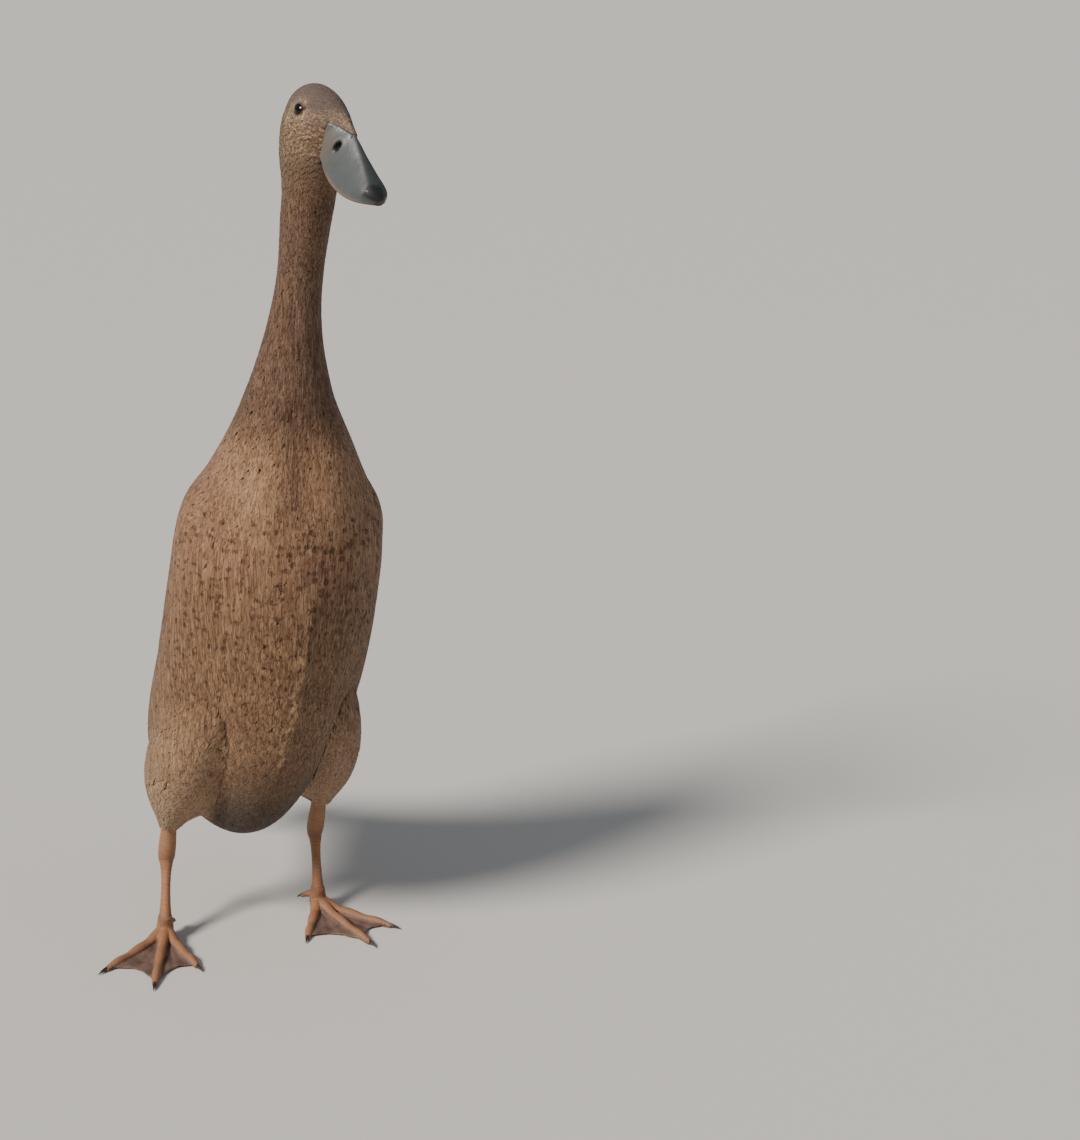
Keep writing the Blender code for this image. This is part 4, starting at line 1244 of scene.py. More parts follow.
class Coat:
    """Turns roots on a form into joined meshes of feathers."""

    def __init__(self, form: Form, markings: Markings, seed: int) -> None:
        self.form = form
        self.markings = markings
        self.draw = np.random.default_rng(seed)

    def grow(self, name: str, roots: Roots, cut: FeatherCut, thigh: float = 0.0) -> Piece:
        """One joined mesh of feathers.

        Args:
            name: the piece's name.
            roots: where the feathers grow.
            cut: their plan.
            thigh: the least share of the thighs' marking on them.

        Returns:
            The piece.
        """
        way, side, under = (values[None] for values in cut.plan())
        count = len(roots.p)
        per = way.shape[1]
        ragged = self.draw.uniform(0, 1, (count, cut.columns)) * cut.ragged
        jag = np.tile(np.concatenate([ragged, ragged.mean(1, keepdims=True)], axis=1), (1, len(cut.rows)))
        bend = self.draw.normal(0, 0.10, (count, 1))
        reach = way * (1 - cut.round_end * np.abs(side) ** 2.2 * way**2) - jag * way**3
        half = roots.width[:, None] / 2 * (1 - cut.narrow * way**2.0) * np.minimum(0.55 + 1.5 * way, 1.0)
        along = roots.length[:, None] * reach
        across = half * side + bend * along * way
        cos, sin = np.cos(roots.turn)[:, None], np.sin(roots.turn)[:, None]
        ahead, beside = self.form.slopes(roots.p, roots.q)
        long_p = np.linalg.norm(ahead, axis=-1)[:, None]
        long_q = np.linalg.norm(beside, axis=-1)[:, None]
        p = roots.p[:, None] + self.form.lay * (along * cos - across * sin) / long_p
        q = roots.q[:, None] + (along * sin + across * cos) / long_q
        lift = -roots.deep[:, None] + (roots.deep + roots.rise)[:, None] * way**cut.soaring
        lift = lift + cut.camber * half * (1 - side**2) - under * cut.thickness
        lift = lift - 0.00008 * np.abs(side)
        points = self.form.points(p, q, lift).reshape(-1, 3)
        base = self.form.unwrap(roots.p, roots.q)[:, None, :]
        patch = np.stack([side * 0.0014 + 0 * p, (way - 0.5) * 0.0028 + 0 * p], axis=-1)
        flat_map = np.clip(base * 0.99 + 0.005 + patch, 0.0, 1.0).reshape(-1, 2)
        shift = (np.arange(count) * per)[:, None, None]
        faces = [(one[None] + shift).reshape(-1, one.shape[1]) for one in cut.faces()]
        marks = self.markings.at(self.form.surface(roots.p, roots.q))
        marks["thigh"] = np.maximum(marks["thigh"], thigh)
        numbers = {mark: np.repeat(values, per) for mark, values in marks.items()}
        numbers["way"] = np.broadcast_to(way, (count, per)).ravel()
        numbers["side"] = np.broadcast_to(side, (count, per)).ravel()
        numbers["tone"] = np.repeat(roots.tone, per)
        numbers["row"] = np.repeat(roots.row, per)
        return mesh_object(name, points, faces, numbers, flat_map, crisp=75)


class Duck:
    """The whole duck: its forms, finishes and pieces."""

    def __init__(self) -> None:
        self.body = BodyForm()
        self.thighs = {side: ThighForm(side) for side in SIDES}
        self.wings = {side: WingForm(side, self.body) for side in SIDES}
        self.sides = {side: SideForm(side, self.body, self.wings[side]) for side in SIDES}
        self.haunches = {
            side: HaunchForm(side, self.body, self.wings[side], self.thighs[side]) for side in SIDES
        }
        self.markings = Markings()
        plumage = PlumageFinish()
        self.plumage = plumage.make("plumage_soft")
        self.under_plumage = plumage.make("plumage_skin", on_skin=True)
        self.quills = QuillFinish().make("quill_vanes")
        self.tail_quills = QuillFinish().make("tail_vanes", dark_end=0.8)


def done(piece: Piece, slot: str, finish: Finish | None, *nodes: str) -> None:
    """Puts a piece on the model, in place of the nodes it stands for, with a finish or its own ones."""
    if finish:
        piece.data.materials.clear()
        piece.data.materials.append(finish)
    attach(piece, "root")
    if nodes:
        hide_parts(*nodes)
    LOG.info("%s: %d faces", piece.name, len(piece.data.polygons))


@dataclass
class Skin:
    """The one seamless skin under the coat: head, neck, body, tail, thighs and the wings' flesh."""

    duck: Duck
    voxel: float = 0.0016
    body_depth: float = 0.0019
    neck_depth: float = 0.0014
    head_depth: float = 0.0009
    rings: int = 170
    sides: int = 72

    def depth(self, station: Array) -> Array:
        """How far the skin lies under the coat's outline, by station."""
        depth = self.body_depth + (self.neck_depth - self.body_depth) * step(10.0, 12.0, station)
        return depth + (self.head_depth - self.neck_depth) * step(14.5, 16.0, station)

    def bare(self, points: Array) -> Array:
        """How much deeper the skin lies under the bill's plates."""
        up = step(0.562, 0.568, points[..., 2])
        return 0.0024 * step(-0.0022, -0.0010, past_feather_line(points)) * up

    def build(self) -> None:
        """The skin, in place of the nodes of flesh."""
        parts = [self.trunk()] + [self.thigh(side) for side in SIDES] + [self.wing(side) for side in SIDES]
        skin = fused("skin", parts, self.voxel, 4)
        carry(skin.data, self.duck.markings.at(corners_of(skin.data)))
        nodes = ("head", "neck", "torso", "thigh_left", "thigh_right")
        done(skin, "plumage", self.duck.under_plumage, *nodes)

    def solid(self, name: str, grid: Array) -> Piece:
        """A closed part of the skin."""
        return outward(mesh_object(name, *closed_tube(grid)))

    def trunk(self) -> Piece:
        """Body, neck and head, out to inside the bill."""
        p, q = even_grid((1.1, len(STATIONS) - 1.0), ALL_ROUND, self.rings, self.sides, closed=True)
        depth = self.depth(p) + self.bare(self.duck.body.surface(p, q))
        return self.solid("trunk_flesh", self.duck.body.points(p, q, -depth))

    def thigh(self, side: str) -> Piece:
        """One thigh."""
        p, q = even_grid((0.05, 7.0), ALL_ROUND, 44, 40, closed=True)
        return self.solid("thigh_flesh", self.duck.thighs[side].points(p, q, -self.body_depth * 0.9))

    def wing(self, side: str) -> Piece:
        """The flesh of one folded wing."""
        form = self.duck.wings[side]
        p, q = even_grid((0.01, 0.72), (0.04, 0.96), 40, 14)
        outer = form.points(p, q, -0.0030 - 0.0030 * fall(0.02, 0.14, p))
        station, angle, _ = form.on_body(p, q)
        inner = self.duck.body.points(station, angle, np.full(p.shape, -0.006))
        return self.solid("wing_flesh", np.concatenate([outer, inner[:, ::-1]], axis=1))


@dataclass
class BodyCoat:
    """Small feathers of the head, neck and body, growing back and down from the bill."""

    duck: Duck
    skin: Skin
    bill: BVHTree
    body_gap: float = 0.0027
    neck_gap: float = 0.0018
    head_gap: float = 0.00088

    def gap(self, p: Array, q: Array) -> Array:
        """The spacing of roots at a place."""
        gap = self.body_gap + (self.neck_gap - self.body_gap) * step(9.6, 12.0, p)
        gap = gap + (self.head_gap - self.neck_gap) * step(14.2, 16.0, p)
        return gap * (1 - 0.15 * step(17.2, 18.6, p))

    def build(self) -> None:
        """All the coat's pieces."""
        sowing = Sowing(41)
        form = self.duck.body
        p, q, points = sowing.spread(form, (1.25, 19.95), ALL_ROUND, self.gap)
        keep = self.clear_of_wings(p, q) & self.clear_of(points)
        p, q, points = p[keep], q[keep], points[keep]
        gap = self.gap(p, q)
        deep = self.skin.depth(p) * 0.95
        roots = Roots.sown(sowing.draw, p, q, (0.85, 1.15), (0.85, 1.15), 6, deep, 0.00004)
        roots.length *= gap * (4.4 + 0.2 * step(14.0, 16.0, p))
        roots.width *= gap * (2.2 + 0.15 * step(14.0, 16.0, p))
        roots.row = self.rows(points)
        roots.rise = roots.rise + 0.00040 * (roots.row - 0.5) * (roots.row < 0.999)
        roots = self.round_eyes(roots, points)
        coat = Coat(form, self.duck.markings, 42)
        body_cut = FeatherCut(columns=7, ragged=0.24, narrow=0.40)
        neck_cut = FeatherCut(columns=5, rows=(0.0, 0.35, 0.7, 1.0), narrow=0.42, ragged=0.20)
        head_cut = FeatherCut(columns=3, rows=(0.0, 0.35, 0.7, 1.0), narrow=0.42, ragged=0.12)
        front = np.cos(roots.q) < -0.1
        trunk = roots.p < 10.4
        parts = (
            ("face_feathers", roots.p >= 17.0, head_cut),
            ("head_feathers", (roots.p >= 14.6) & (roots.p < 17.0), head_cut),
            ("neck_feathers", (roots.p >= 10.4) & (roots.p < 14.6), neck_cut),
            ("breast_feathers", trunk & front & (roots.p >= 7.4), body_cut),
            ("belly_feathers", trunk & front & (roots.p >= 5.2) & (roots.p < 7.4), body_cut),
            ("lower_feathers", trunk & front & (roots.p < 5.2), body_cut),
            ("back_feathers", trunk & ~front, body_cut),
        )
        for name, chosen, cut in parts:
            piece = coat.grow(name, roots.picked(chosen), cut)
            if cut is head_cut:
                carry(piece.data, {"row": self.rows(corners_of(piece.data))})
            done(piece, "plumage", self.duck.plumage)

    def rows(self, points: Array) -> Array:
        """How near each feather is to the crest of one of the cheeks' fine wavy rows, or 1 elsewhere."""
        left, forward, up = np.moveaxis(head_frame(points), -1, 0)
        wave = 0.0010 * np.sin(forward * 420 + 3 * np.sign(left)) + 0.0006 * np.sin(forward * 1150 + up * 300)
        crest = 0.5 + 0.5 * np.sin(2 * math.pi * (up + wave) / 0.0030)
        share = step(0.556, 0.566, up) * fall(0.592, 0.600, up) * step(0.004, 0.008, np.abs(left))
        return 1 - share * (1 - crest)

    def clear_of_wings(self, p: Array, q: Array) -> Array:
        """Whether each place is outside the folded wings."""
        angle = np.degrees(np.where(q > math.pi, 2 * math.pi - q, q))
        table = self.duck.wings["left"].table(200)
        top, low = (np.interp(p, table[:, 0], table[:, k]) for k in (1, 2))
        beyond = (low - top) * 0.40 * step(3.1, 3.4, p)
        tucked = 5 * fall(3.6, 4.6, p)
        return ~((p > 3.3) & (p < 9.35) & (angle > top + 9 + tucked) & (angle < low + beyond - tucked))

    def clear_of(self, points: Array) -> Array:
        """Whether each point is outside the bill and behind the feather line."""
        keep = (past_feather_line(points) < 0.0002) | (points[:, 2] < 0.566)
        for i in np.nonzero(points[:, 2] > 0.54)[0]:
            place, normal, _, gap = self.bill.find_nearest(Vector(points[i]))
            if gap < 0.006 and (Vector(points[i]) - place).dot(normal) < 0 or gap < 0.0003:
                keep[i] = False
        return keep

    def round_eyes(self, roots: Roots, points: Array) -> Roots:
        """Turns the feathers to part round the eyes, and drops those on them."""
        radius = 0.0050
        keep = np.ones(len(points), bool)
        ahead, beside = self.duck.body.slopes(roots.p, roots.q)
        down, across = -unit(ahead), unit(beside)
        for eye in Eye.pair(self.duck):
            offset = points - eye.centre
            far = np.linalg.norm(offset, axis=-1)
            x, y = (offset * down).sum(-1), (offset * across).sum(-1)
            gap = np.hypot(x, y)
            near = (far < 0.016) & (gap > 1e-6)
            theta = np.arctan2(y, x)
            share = (radius / np.maximum(gap, radius)) ** 2
            flow = np.arctan2(-share * np.sin(2 * theta), np.maximum(1 - share * np.cos(2 * theta), 0.15))
            roots.turn[near] += flow[near]
            tip_x, tip_y = x + roots.length * np.cos(roots.turn), y + roots.length * np.sin(roots.turn)
            tip_in = near & (np.hypot(tip_x, tip_y) < radius * 0.86)
            roots.length[tip_in] *= 0.55
            keep &= (far >= 0.0062) | (gap >= radius)
        return roots.picked(keep)


@dataclass
class SideCoat:
    """Body feathers that sweep back from the flanks over the front half of each wing."""

    duck: Duck
    gap: float = 0.0028

    def build(self) -> None:
        """Both sides' feathers."""
        for number, (side, form) in enumerate(self.duck.sides.items()):
            sowing = Sowing(51 + number)
            p, q, _ = sowing.spread(form, (3.3, 9.8), (8.0, 150.0), lambda p, q: self.gap + 0 * p)
            share, _ = form.across(p, q)
            front = 0.38 if side == "right" else 0.48
            edge = front + sowing.draw.normal(0, 0.035, len(p)) + 0.25 * fall(3.6, 5.4, p)
            edge = edge - 0.9 * step(6.1, 7.5, p)
            keep = (share > edge) & (share < 1.42) & (p < 9.75)
            p, q, share = p[keep], q[keep], share[keep]
            roots = Roots.sown(sowing.draw, p, q, (0.85, 1.2), (0.85, 1.15), 6, 0.0016, 0.00005)
            roots.length *= self.gap * 4.6
            roots.width *= self.gap * 2.1
            roots.turn -= math.radians(15) * fall(0.75, 1.35, share)
            coat = Coat(form, self.duck.markings, 53 + number)
            cut = FeatherCut(columns=7, ragged=0.24, narrow=0.40)
            done(coat.grow(f"side_feathers_{side}", roots, cut), "plumage", self.duck.plumage)


@dataclass
class ThighCoat:
    """Long soft pale locks, from the flanks over the thighs to a cuff over each hock."""

    duck: Duck
    gap: float = 0.0030
    merge: float = 0.012

    def build(self) -> None:
        """Both thighs' feathers."""
        for number, side in enumerate(SIDES):
            self.lower(side, 61 + number)
            self.upper(side, 65 + number)

    def grow(self, name: str, form: Form, roots: Roots, seed: int, least: float) -> None:
        """One piece of locks."""
        cut = FeatherCut(columns=7, rows=(0.0, 0.3, 0.6, 0.85, 1.0), narrow=0.55, ragged=0.32)
        coat = Coat(form, self.duck.markings, seed)
        done(coat.grow(name, roots, cut, least), "plumage", self.duck.plumage)

    def locks(self, p: Array, q: Array, sowing: Sowing) -> Roots:
        """Roots of long locks at the given places."""
        return Roots.sown(sowing.draw, p, q, (0.014, 0.022), (0.0040, 0.0060), 9, 0.0018, 0.00010)

    def lower(self, side: str, seed: int) -> None:
        """The part of a thigh that hangs free of the body."""
        form = self.duck.thighs[side]
        sowing = Sowing(seed)
        p, q, points = sowing.spread(form, (0.10, 6.6), ALL_ROUND, lambda p, q: self.gap + 0 * p)
        keep = self.clear_of_body(points)
        roots = self.locks(p[keep], q[keep], sowing)
        roots.length *= 0.35 + 0.65 * step(0.1, 2.0, roots.p)
        self.grow(f"thigh_feathers_{side}", form, roots, seed + 2, 0.85)

    def upper(self, side: str, seed: int) -> None:
        """The part of a thigh that swells out of the body."""
        form = self.duck.haunches[side]
        sowing = Sowing(seed)
        p, q, _ = sowing.spread(form, (1.5, 8.1), (45.0, 175.0), lambda p, q: self.gap + 0 * p)
        height = form.swell(p, q)
        keep = (height > 0.0005) & (height < self.merge + 0.007)
        roots = self.locks(p[keep], q[keep], sowing)
        roots.turn -= math.radians(16)
        self.grow(f"haunch_feathers_{side}", form, roots, seed + 2, 0.0)

    def clear_of_body(self, points: Array) -> Array:
        """Whether each point stands well out of the body's outline."""
        tree = surface_tree(self.duck.body, (1.5, 9.0))
        middle = body_middle(self.duck.body, 5.0)
        return np.array([over_surface(tree, middle, point)[2] > self.merge - 0.003 for point in points])


class Vanes:
    """Large feathers of one kind: each an upper and a lower sheet, joined round their rim."""

    ROWS = 15
    COLUMNS = 11
    THICKNESS = 0.00035
    LEAST_WIDTH = 0.0004
    MAP_PATCH = (0.006, 0.012)

    def __init__(self) -> None:
        self.way = np.linspace(0, 1, self.ROWS)
        self.side = np.linspace(-1, 1, self.COLUMNS)
        self.corners: list[Array] = []
        self.flat_map: list[Array] = []
        self.tones: list[float] = []

    def half_width(self, width: float, foot: float, growth: float, pointed: float) -> Array:
        """Half a feather's width at each row.

        Args:
            width: its full width.
            foot: the share of it at the root.
            growth: how fast it widens from there.
            pointed: how late it narrows to the tip.

        Returns:
            A value for each row.
        """
        half = width / 2 * np.minimum(foot + growth * self.way, 1.0)
        half = half * np.maximum(1 - np.maximum(0, (self.way - 0.5) / 0.5) ** pointed, 0.0) ** 0.5
        return np.maximum(half, self.LEAST_WIDTH)

    def camber(self, half: Array) -> Array:
        """How high the middle stands over the edges, by row and column."""
        return 0.10 * half[:, None] * (1 - self.side[None] ** 2)

    def sheets(self, upper: Array, out: Array) -> Array:
        """The corners of both sheets, from the upper one and its outward direction."""
        return np.stack([upper, upper - out * self.THICKNESS]).reshape(-1, 3)

    def add(self, corners: Array, tone: float, base: Array) -> None:
        """Keeps one feather's corners, its tone and its place on the flat map."""
        way, side = np.meshgrid(self.way, self.side, indexing="ij")
        patch = np.stack([side.ravel() * self.MAP_PATCH[0], way.ravel() * self.MAP_PATCH[1]], axis=-1)
        self.corners.append(corners)
        self.flat_map += [base + patch] * 2
        self.tones.append(tone)

    def piece(self, name: str, finish: Finish) -> Piece:
        """One mesh of all the feathers that were added."""
        way, side = np.meshgrid(self.way, self.side, indexing="ij")
        sheets = 2 * len(self.tones)
        numbers = {
            "way": np.tile(way.ravel(), sheets),
            "side": np.tile(side.ravel(), sheets),
            "tone": np.repeat(self.tones, 2 * way.size),
        }
        faces = [sheet_faces(self.ROWS, self.COLUMNS, len(self.tones))]
        corners, flat_map = np.concatenate(self.corners), np.concatenate(self.flat_map)
        piece = mesh_object(name, corners, faces, numbers, flat_map, crisp=60)
        piece.data.materials.append(finish)
        return piece


@dataclass
class WingFeathers:
    """The larger feathers of the folded wings, tier by tier."""

    duck: Duck
    ROOT_DEPTH = 0.0040
    STACKING = 0.00004
    TIERS = (
        ("primaries", 7, (0.58, 0.60), (1.04, 0.86), (0.36, 0.66), (0.58, 0.80), 0.0115, 0.0006, 0.0026),
        ("secondaries", 10, (0.45, 0.44), (0.82, 0.69), (0.34, 0.90), (0.34, 0.97), 0.0135, 0.0008, 0.0008),
        ("tertials", 5, (0.42, 0.46), (0.90, 0.80), (0.12, 0.42), (0.08, 0.36), 0.0175, 0.0014, 0.0004),
        ("greater", 11, (0.31, 0.33), (0.585, 0.545), (0.10, 0.90), (0.08, 0.96), 0.0125, 0.0012, 0.0002),
        ("median", 11, (0.19, 0.22), (0.42, 0.40), (0.10, 0.90), (0.07, 0.95), 0.0115, 0.0016, 0.0001),
    )

    def build(self) -> None:
        """Both wings."""
        for number, (side, form) in enumerate(self.duck.wings.items()):
            pieces = [self.tier(form, 71 + number * 9 + i, *row) for i, row in enumerate(self.TIERS)]
            done(join(f"wing_quills_{side}", pieces), "wing", self.duck.quills, f"wing_{side}")

    def tier(self, form: WingForm, seed: int, name: str, count: int, roots_along: Span, tips_along: Span,
             roots_across: Span, tips_across: Span, width: float, level: float, tip_depth: float) -> Piece:
        """One row of feathers on one wing, from its upper edge to its lower."""
        draw = np.random.default_rng(seed)
        ends = (roots_along, tips_along, roots_across, tips_across)
        root_p, tip_p, root_q, tip_q = (np.interp(np.linspace(0, 1, count), (0, 1), pair) for pair in ends)
        tip_p = tip_p + draw.uniform(-0.018, 0.018, count)
        tip_q = tip_q + draw.uniform(-0.008, 0.008, count)
        widths = width * draw.uniform(1.10, 1.26, count)
        vanes = Vanes()
        way, side = vanes.way, vanes.side[None]
        for i, width in enumerate(widths):
            p = root_p[i] + (tip_p[i] - root_p[i]) * way
            q = root_q[i] + (tip_q[i] - root_q[i]) * way
            half = vanes.half_width(width, 0.5, 1.6, 2.2 if name == "primaries" else 3.4)
            normal = form.normals(p, q)
            side_way = unit(np.cross(normal, unit(np.gradient(form.surface(p, q), axis=0))))
            side_way *= np.sign((side_way * form.slopes(p, q)[1]).sum(-1))[:, None]
            depth = tip_depth + (self.ROOT_DEPTH - tip_depth) * (1 - way) ** 1.5
            lift = level - 0.0016 - depth + 0.0012 * way
            centre = form.points(p, q, lift + i * self.STACKING)
            notch = draw.uniform(0.25, 0.9)
            tilt = -0.0011 * (half / half.max())
            relief = vanes.camber(half) + tilt[:, None] * side * 0.5 + bell(side, 0.10) * 0.00018
            split = bell(way[:, None] - notch, 0.03) * step(0.5, 1.0, np.abs(side))
            lateral = half[:, None] * side * (1 - 0.05 * split)
            upper = centre[:, None] + side_way[:, None] * lateral[..., None]
            upper = upper + normal[:, None] * relief[..., None]
            base = form.unwrap(root_p[i], root_q[i])
            vanes.add(vanes.sheets(upper, normal[:, None]), draw.uniform(0, 1), base)
        return vanes.piece(name, self.duck.quills)


def sheet_faces(rows: int, columns: int, count: int) -> Array:
    """Quads of vanes that have an upper and a lower sheet each, joined round their rim."""
    r, k = np.meshgrid(np.arange(rows - 1), np.arange(columns - 1), indexing="ij")
    a = r * columns + k
    upper = np.stack([a, a + 1, a + columns + 1, a + columns], axis=-1).reshape(-1, 4)
    shift = rows * columns
    lower = upper[:, ::-1] + shift
    rim = list(range(columns)) + [i * columns + columns - 1 for i in range(1, rows)]
    rim += [(rows - 1) * columns + i for i in range(columns - 2, -1, -1)]
    rim += [i * columns for i in range(rows - 2, 0, -1)]
    nxt = rim[1:] + rim[:1]
    edge = np.array([(a, a + shift, b + shift, b) for a, b in zip(rim, nxt)])
    one = np.concatenate([upper, lower, edge])
    return (one[None] + (np.arange(count) * 2 * shift)[:, None, None]).reshape(-1, 4)


def join(name: str, pieces: list[Piece]) -> Piece:
    """Joins pieces into the first one, under a new name."""
    first = pieces[0]
    with bpy.context.temp_override(active_object=first, selected_editable_objects=pieces, object=first):
        bpy.ops.object.join()
    first.name = name
    first.data.name = name
    return first


@dataclass
class TailFeathers:
    """The short tail: a fan of strong feathers under rows of coverts."""

    duck: Duck
    TIERS = (
        ("tail", 14, 0.0150, (0.0150, 0.0300), (0.0055, 0.0110), (-0.098, 0.1215), (-0.155, 0.0985)),
        ("upper", 9, 0.0125, (0.0110, 0.0180), (0.0030, 0.0050), (-0.090, 0.1385), (-0.131, 0.1185)),
        ("under", 9, 0.0130, (0.0120, 0.0205), (-0.0030, -0.0050), (-0.092, 0.1010), (-0.136, 0.0960)),
    )
    STACKING = 0.00075
    ROLL = math.radians(24)

    def build(self) -> None:
        """The tail's piece, in place of the tail node."""
        pieces = [self.tier(i, *tier) for i, tier in enumerate(self.TIERS)]
        done(join("tail_fan", pieces), "tail", None, "tail")

    def tier(self, number: int, name: str, count: int, width: float, spread: tuple, fall: tuple,
             root: tuple, tip: tuple) -> Piece:
        """One tier of the tail."""
        draw = np.random.default_rng(101 + number)
        vanes = Vanes()
        way, side = vanes.way, vanes.side[None]
        middle = (count - 1) / 2
        for i in range(count):
            place = (i - middle) / middle
            below = abs(i - middle) * self.STACKING * (-1 if name == "under" else 1)
            start = np.array([place * spread[0], root[0], root[1] - fall[0] * place**2 - below])
            back = tip[0] + 0.013 * place**2 + draw.uniform(-0.002, 0.002)
            end = np.array([place * spread[1], back, tip[1] - fall[1] * place**2 - below])
            ahead = unit(end - start)
            beside = np.cross(ahead, UP)
            beside *= np.sign(beside[0]) / np.linalg.norm(beside)
            out = np.cross(beside, ahead)
            out *= np.sign(out[2])
            cos, sin = math.cos(-place * self.ROLL), math.sin(-place * self.ROLL)
            beside, out = beside * cos + out * sin, out * cos - beside * sin
            sag = 0.0035 * np.sin(math.pi * way) * (1 if name == "tail" else 0.4)
            centre = start + (end - start) * way[:, None] + UP * sag[:, None]
            half = vanes.half_width(width, 0.6, 1.2, 3.0)
            level = vanes.camber(half) + bell(side, 0.1) * 0.0002
            upper = centre[:, None] + beside * (half[:, None] * side)[..., None] + out * level[..., None]
            both = vanes.sheets(upper, out)
            both[:, 0] += SIDE_LEAN * step(0, 1, both[:, 2] / SIDE_LEAN_HEIGHT)
            base = np.array([0.06 + 0.88 * i / max(count - 1, 1), 0.2 + 0.3 * number])
            vanes.add(placed(both), draw.uniform(0, 1), base)
        return vanes.piece(name, self.duck.tail_quills if name == "tail" else self.duck.quills)


@dataclass
class Eye:
    """One eye with its lids."""

    side: str
    centre: Array
    axis: Array
    radius: float = 0.0062
    STATION_U = STATION["crown"] + 0.10
    ANGLE = math.radians(64)
    DEPTH = 0.0050

    @classmethod
    def pair(cls, duck: Duck) -> list[Eye]:
        """Both eyes."""
        eyes = []
        for side, sign in SIDES.items():
            p, q = np.array(cls.STATION_U), np.array(sign * cls.ANGLE)
            out = duck.body.normals(p, q)
            eyes.append(cls(side, duck.body.surface(p, q) - out * cls.DEPTH, out))
        return eyes

    def build(self, eye_finish: Finish, lid_finish: Finish) -> None:
        """The eyeball and its lid rim."""
        first = unit(np.cross(self.axis, UP))
        second = np.cross(self.axis, first)
        polar = np.linspace(0.001, math.pi - 0.001, 48)
        turn = round_angles(64)
        bulge = 1 + 0.03 * bell(polar, 0.55)
        grid = (
            self.centre
            + self.axis * (np.cos(polar) * self.radius * bulge)[:, None, None]
            + (first * np.cos(turn)[:, None] + second * np.sin(turn)[:, None])[None]
            * (np.sin(polar) * self.radius * bulge)[:, None, None]
        )
        points, faces = closed_tube(grid)
        outward_share = ((points - self.centre) @ self.axis) / self.radius
        ball = outward(mesh_object(f"eyeball_{self.side}", points, faces, {"outward": outward_share}))
        done(ball, "eye", eye_finish, f"eye_{self.side}")
        done(self.lids(first, second), "plumage", lid_finish)

    def lids(self, first: Array, second: Array) -> Piece:
        """The bare rim round the eye, slightly pointed fore and aft."""
        around = 72
        turn = round_angles(around)
        opening = 0.0040 * (1 - 0.17 * np.sin(turn) ** 2 + 0.12 * np.cos(turn) ** 10)
        out = first * np.cos(turn)[:, None] + second * np.sin(turn)[:, None]
        shares = np.array([0.0, 0.0, 0.10, 0.30, 0.60, 1.0, 1.0, 0.5, 0.0])
        above = np.array([0.00005, 0.00035, 0.00050, 0.00038, 0.00034, 0.00005, -0.0006, -0.0005, -0.0003])
        reach = opening[:, None] + (0.0053 - opening[:, None]) * shares
        wrinkle = 0.00006 * np.sin(turn * 19)[:, None] * (shares > 0.2)
        height = np.sqrt(np.maximum(self.radius**2 - reach**2, 1e-8)) + above + wrinkle
        grid = self.centre + out[:, None] * reach[..., None] + self.axis * height[..., None]
        section = len(shares)
        k = np.arange(section)
        last = (around - 1) * section
        seam = np.stack([last + k, last + (k + 1) % section, (k + 1) % section, k], axis=1)
        faces = [np.concatenate([tube_faces(around, section), seam])]
        return outward(mesh_object(f"eyelid_{self.side}", grid.reshape(-1, 3), faces))


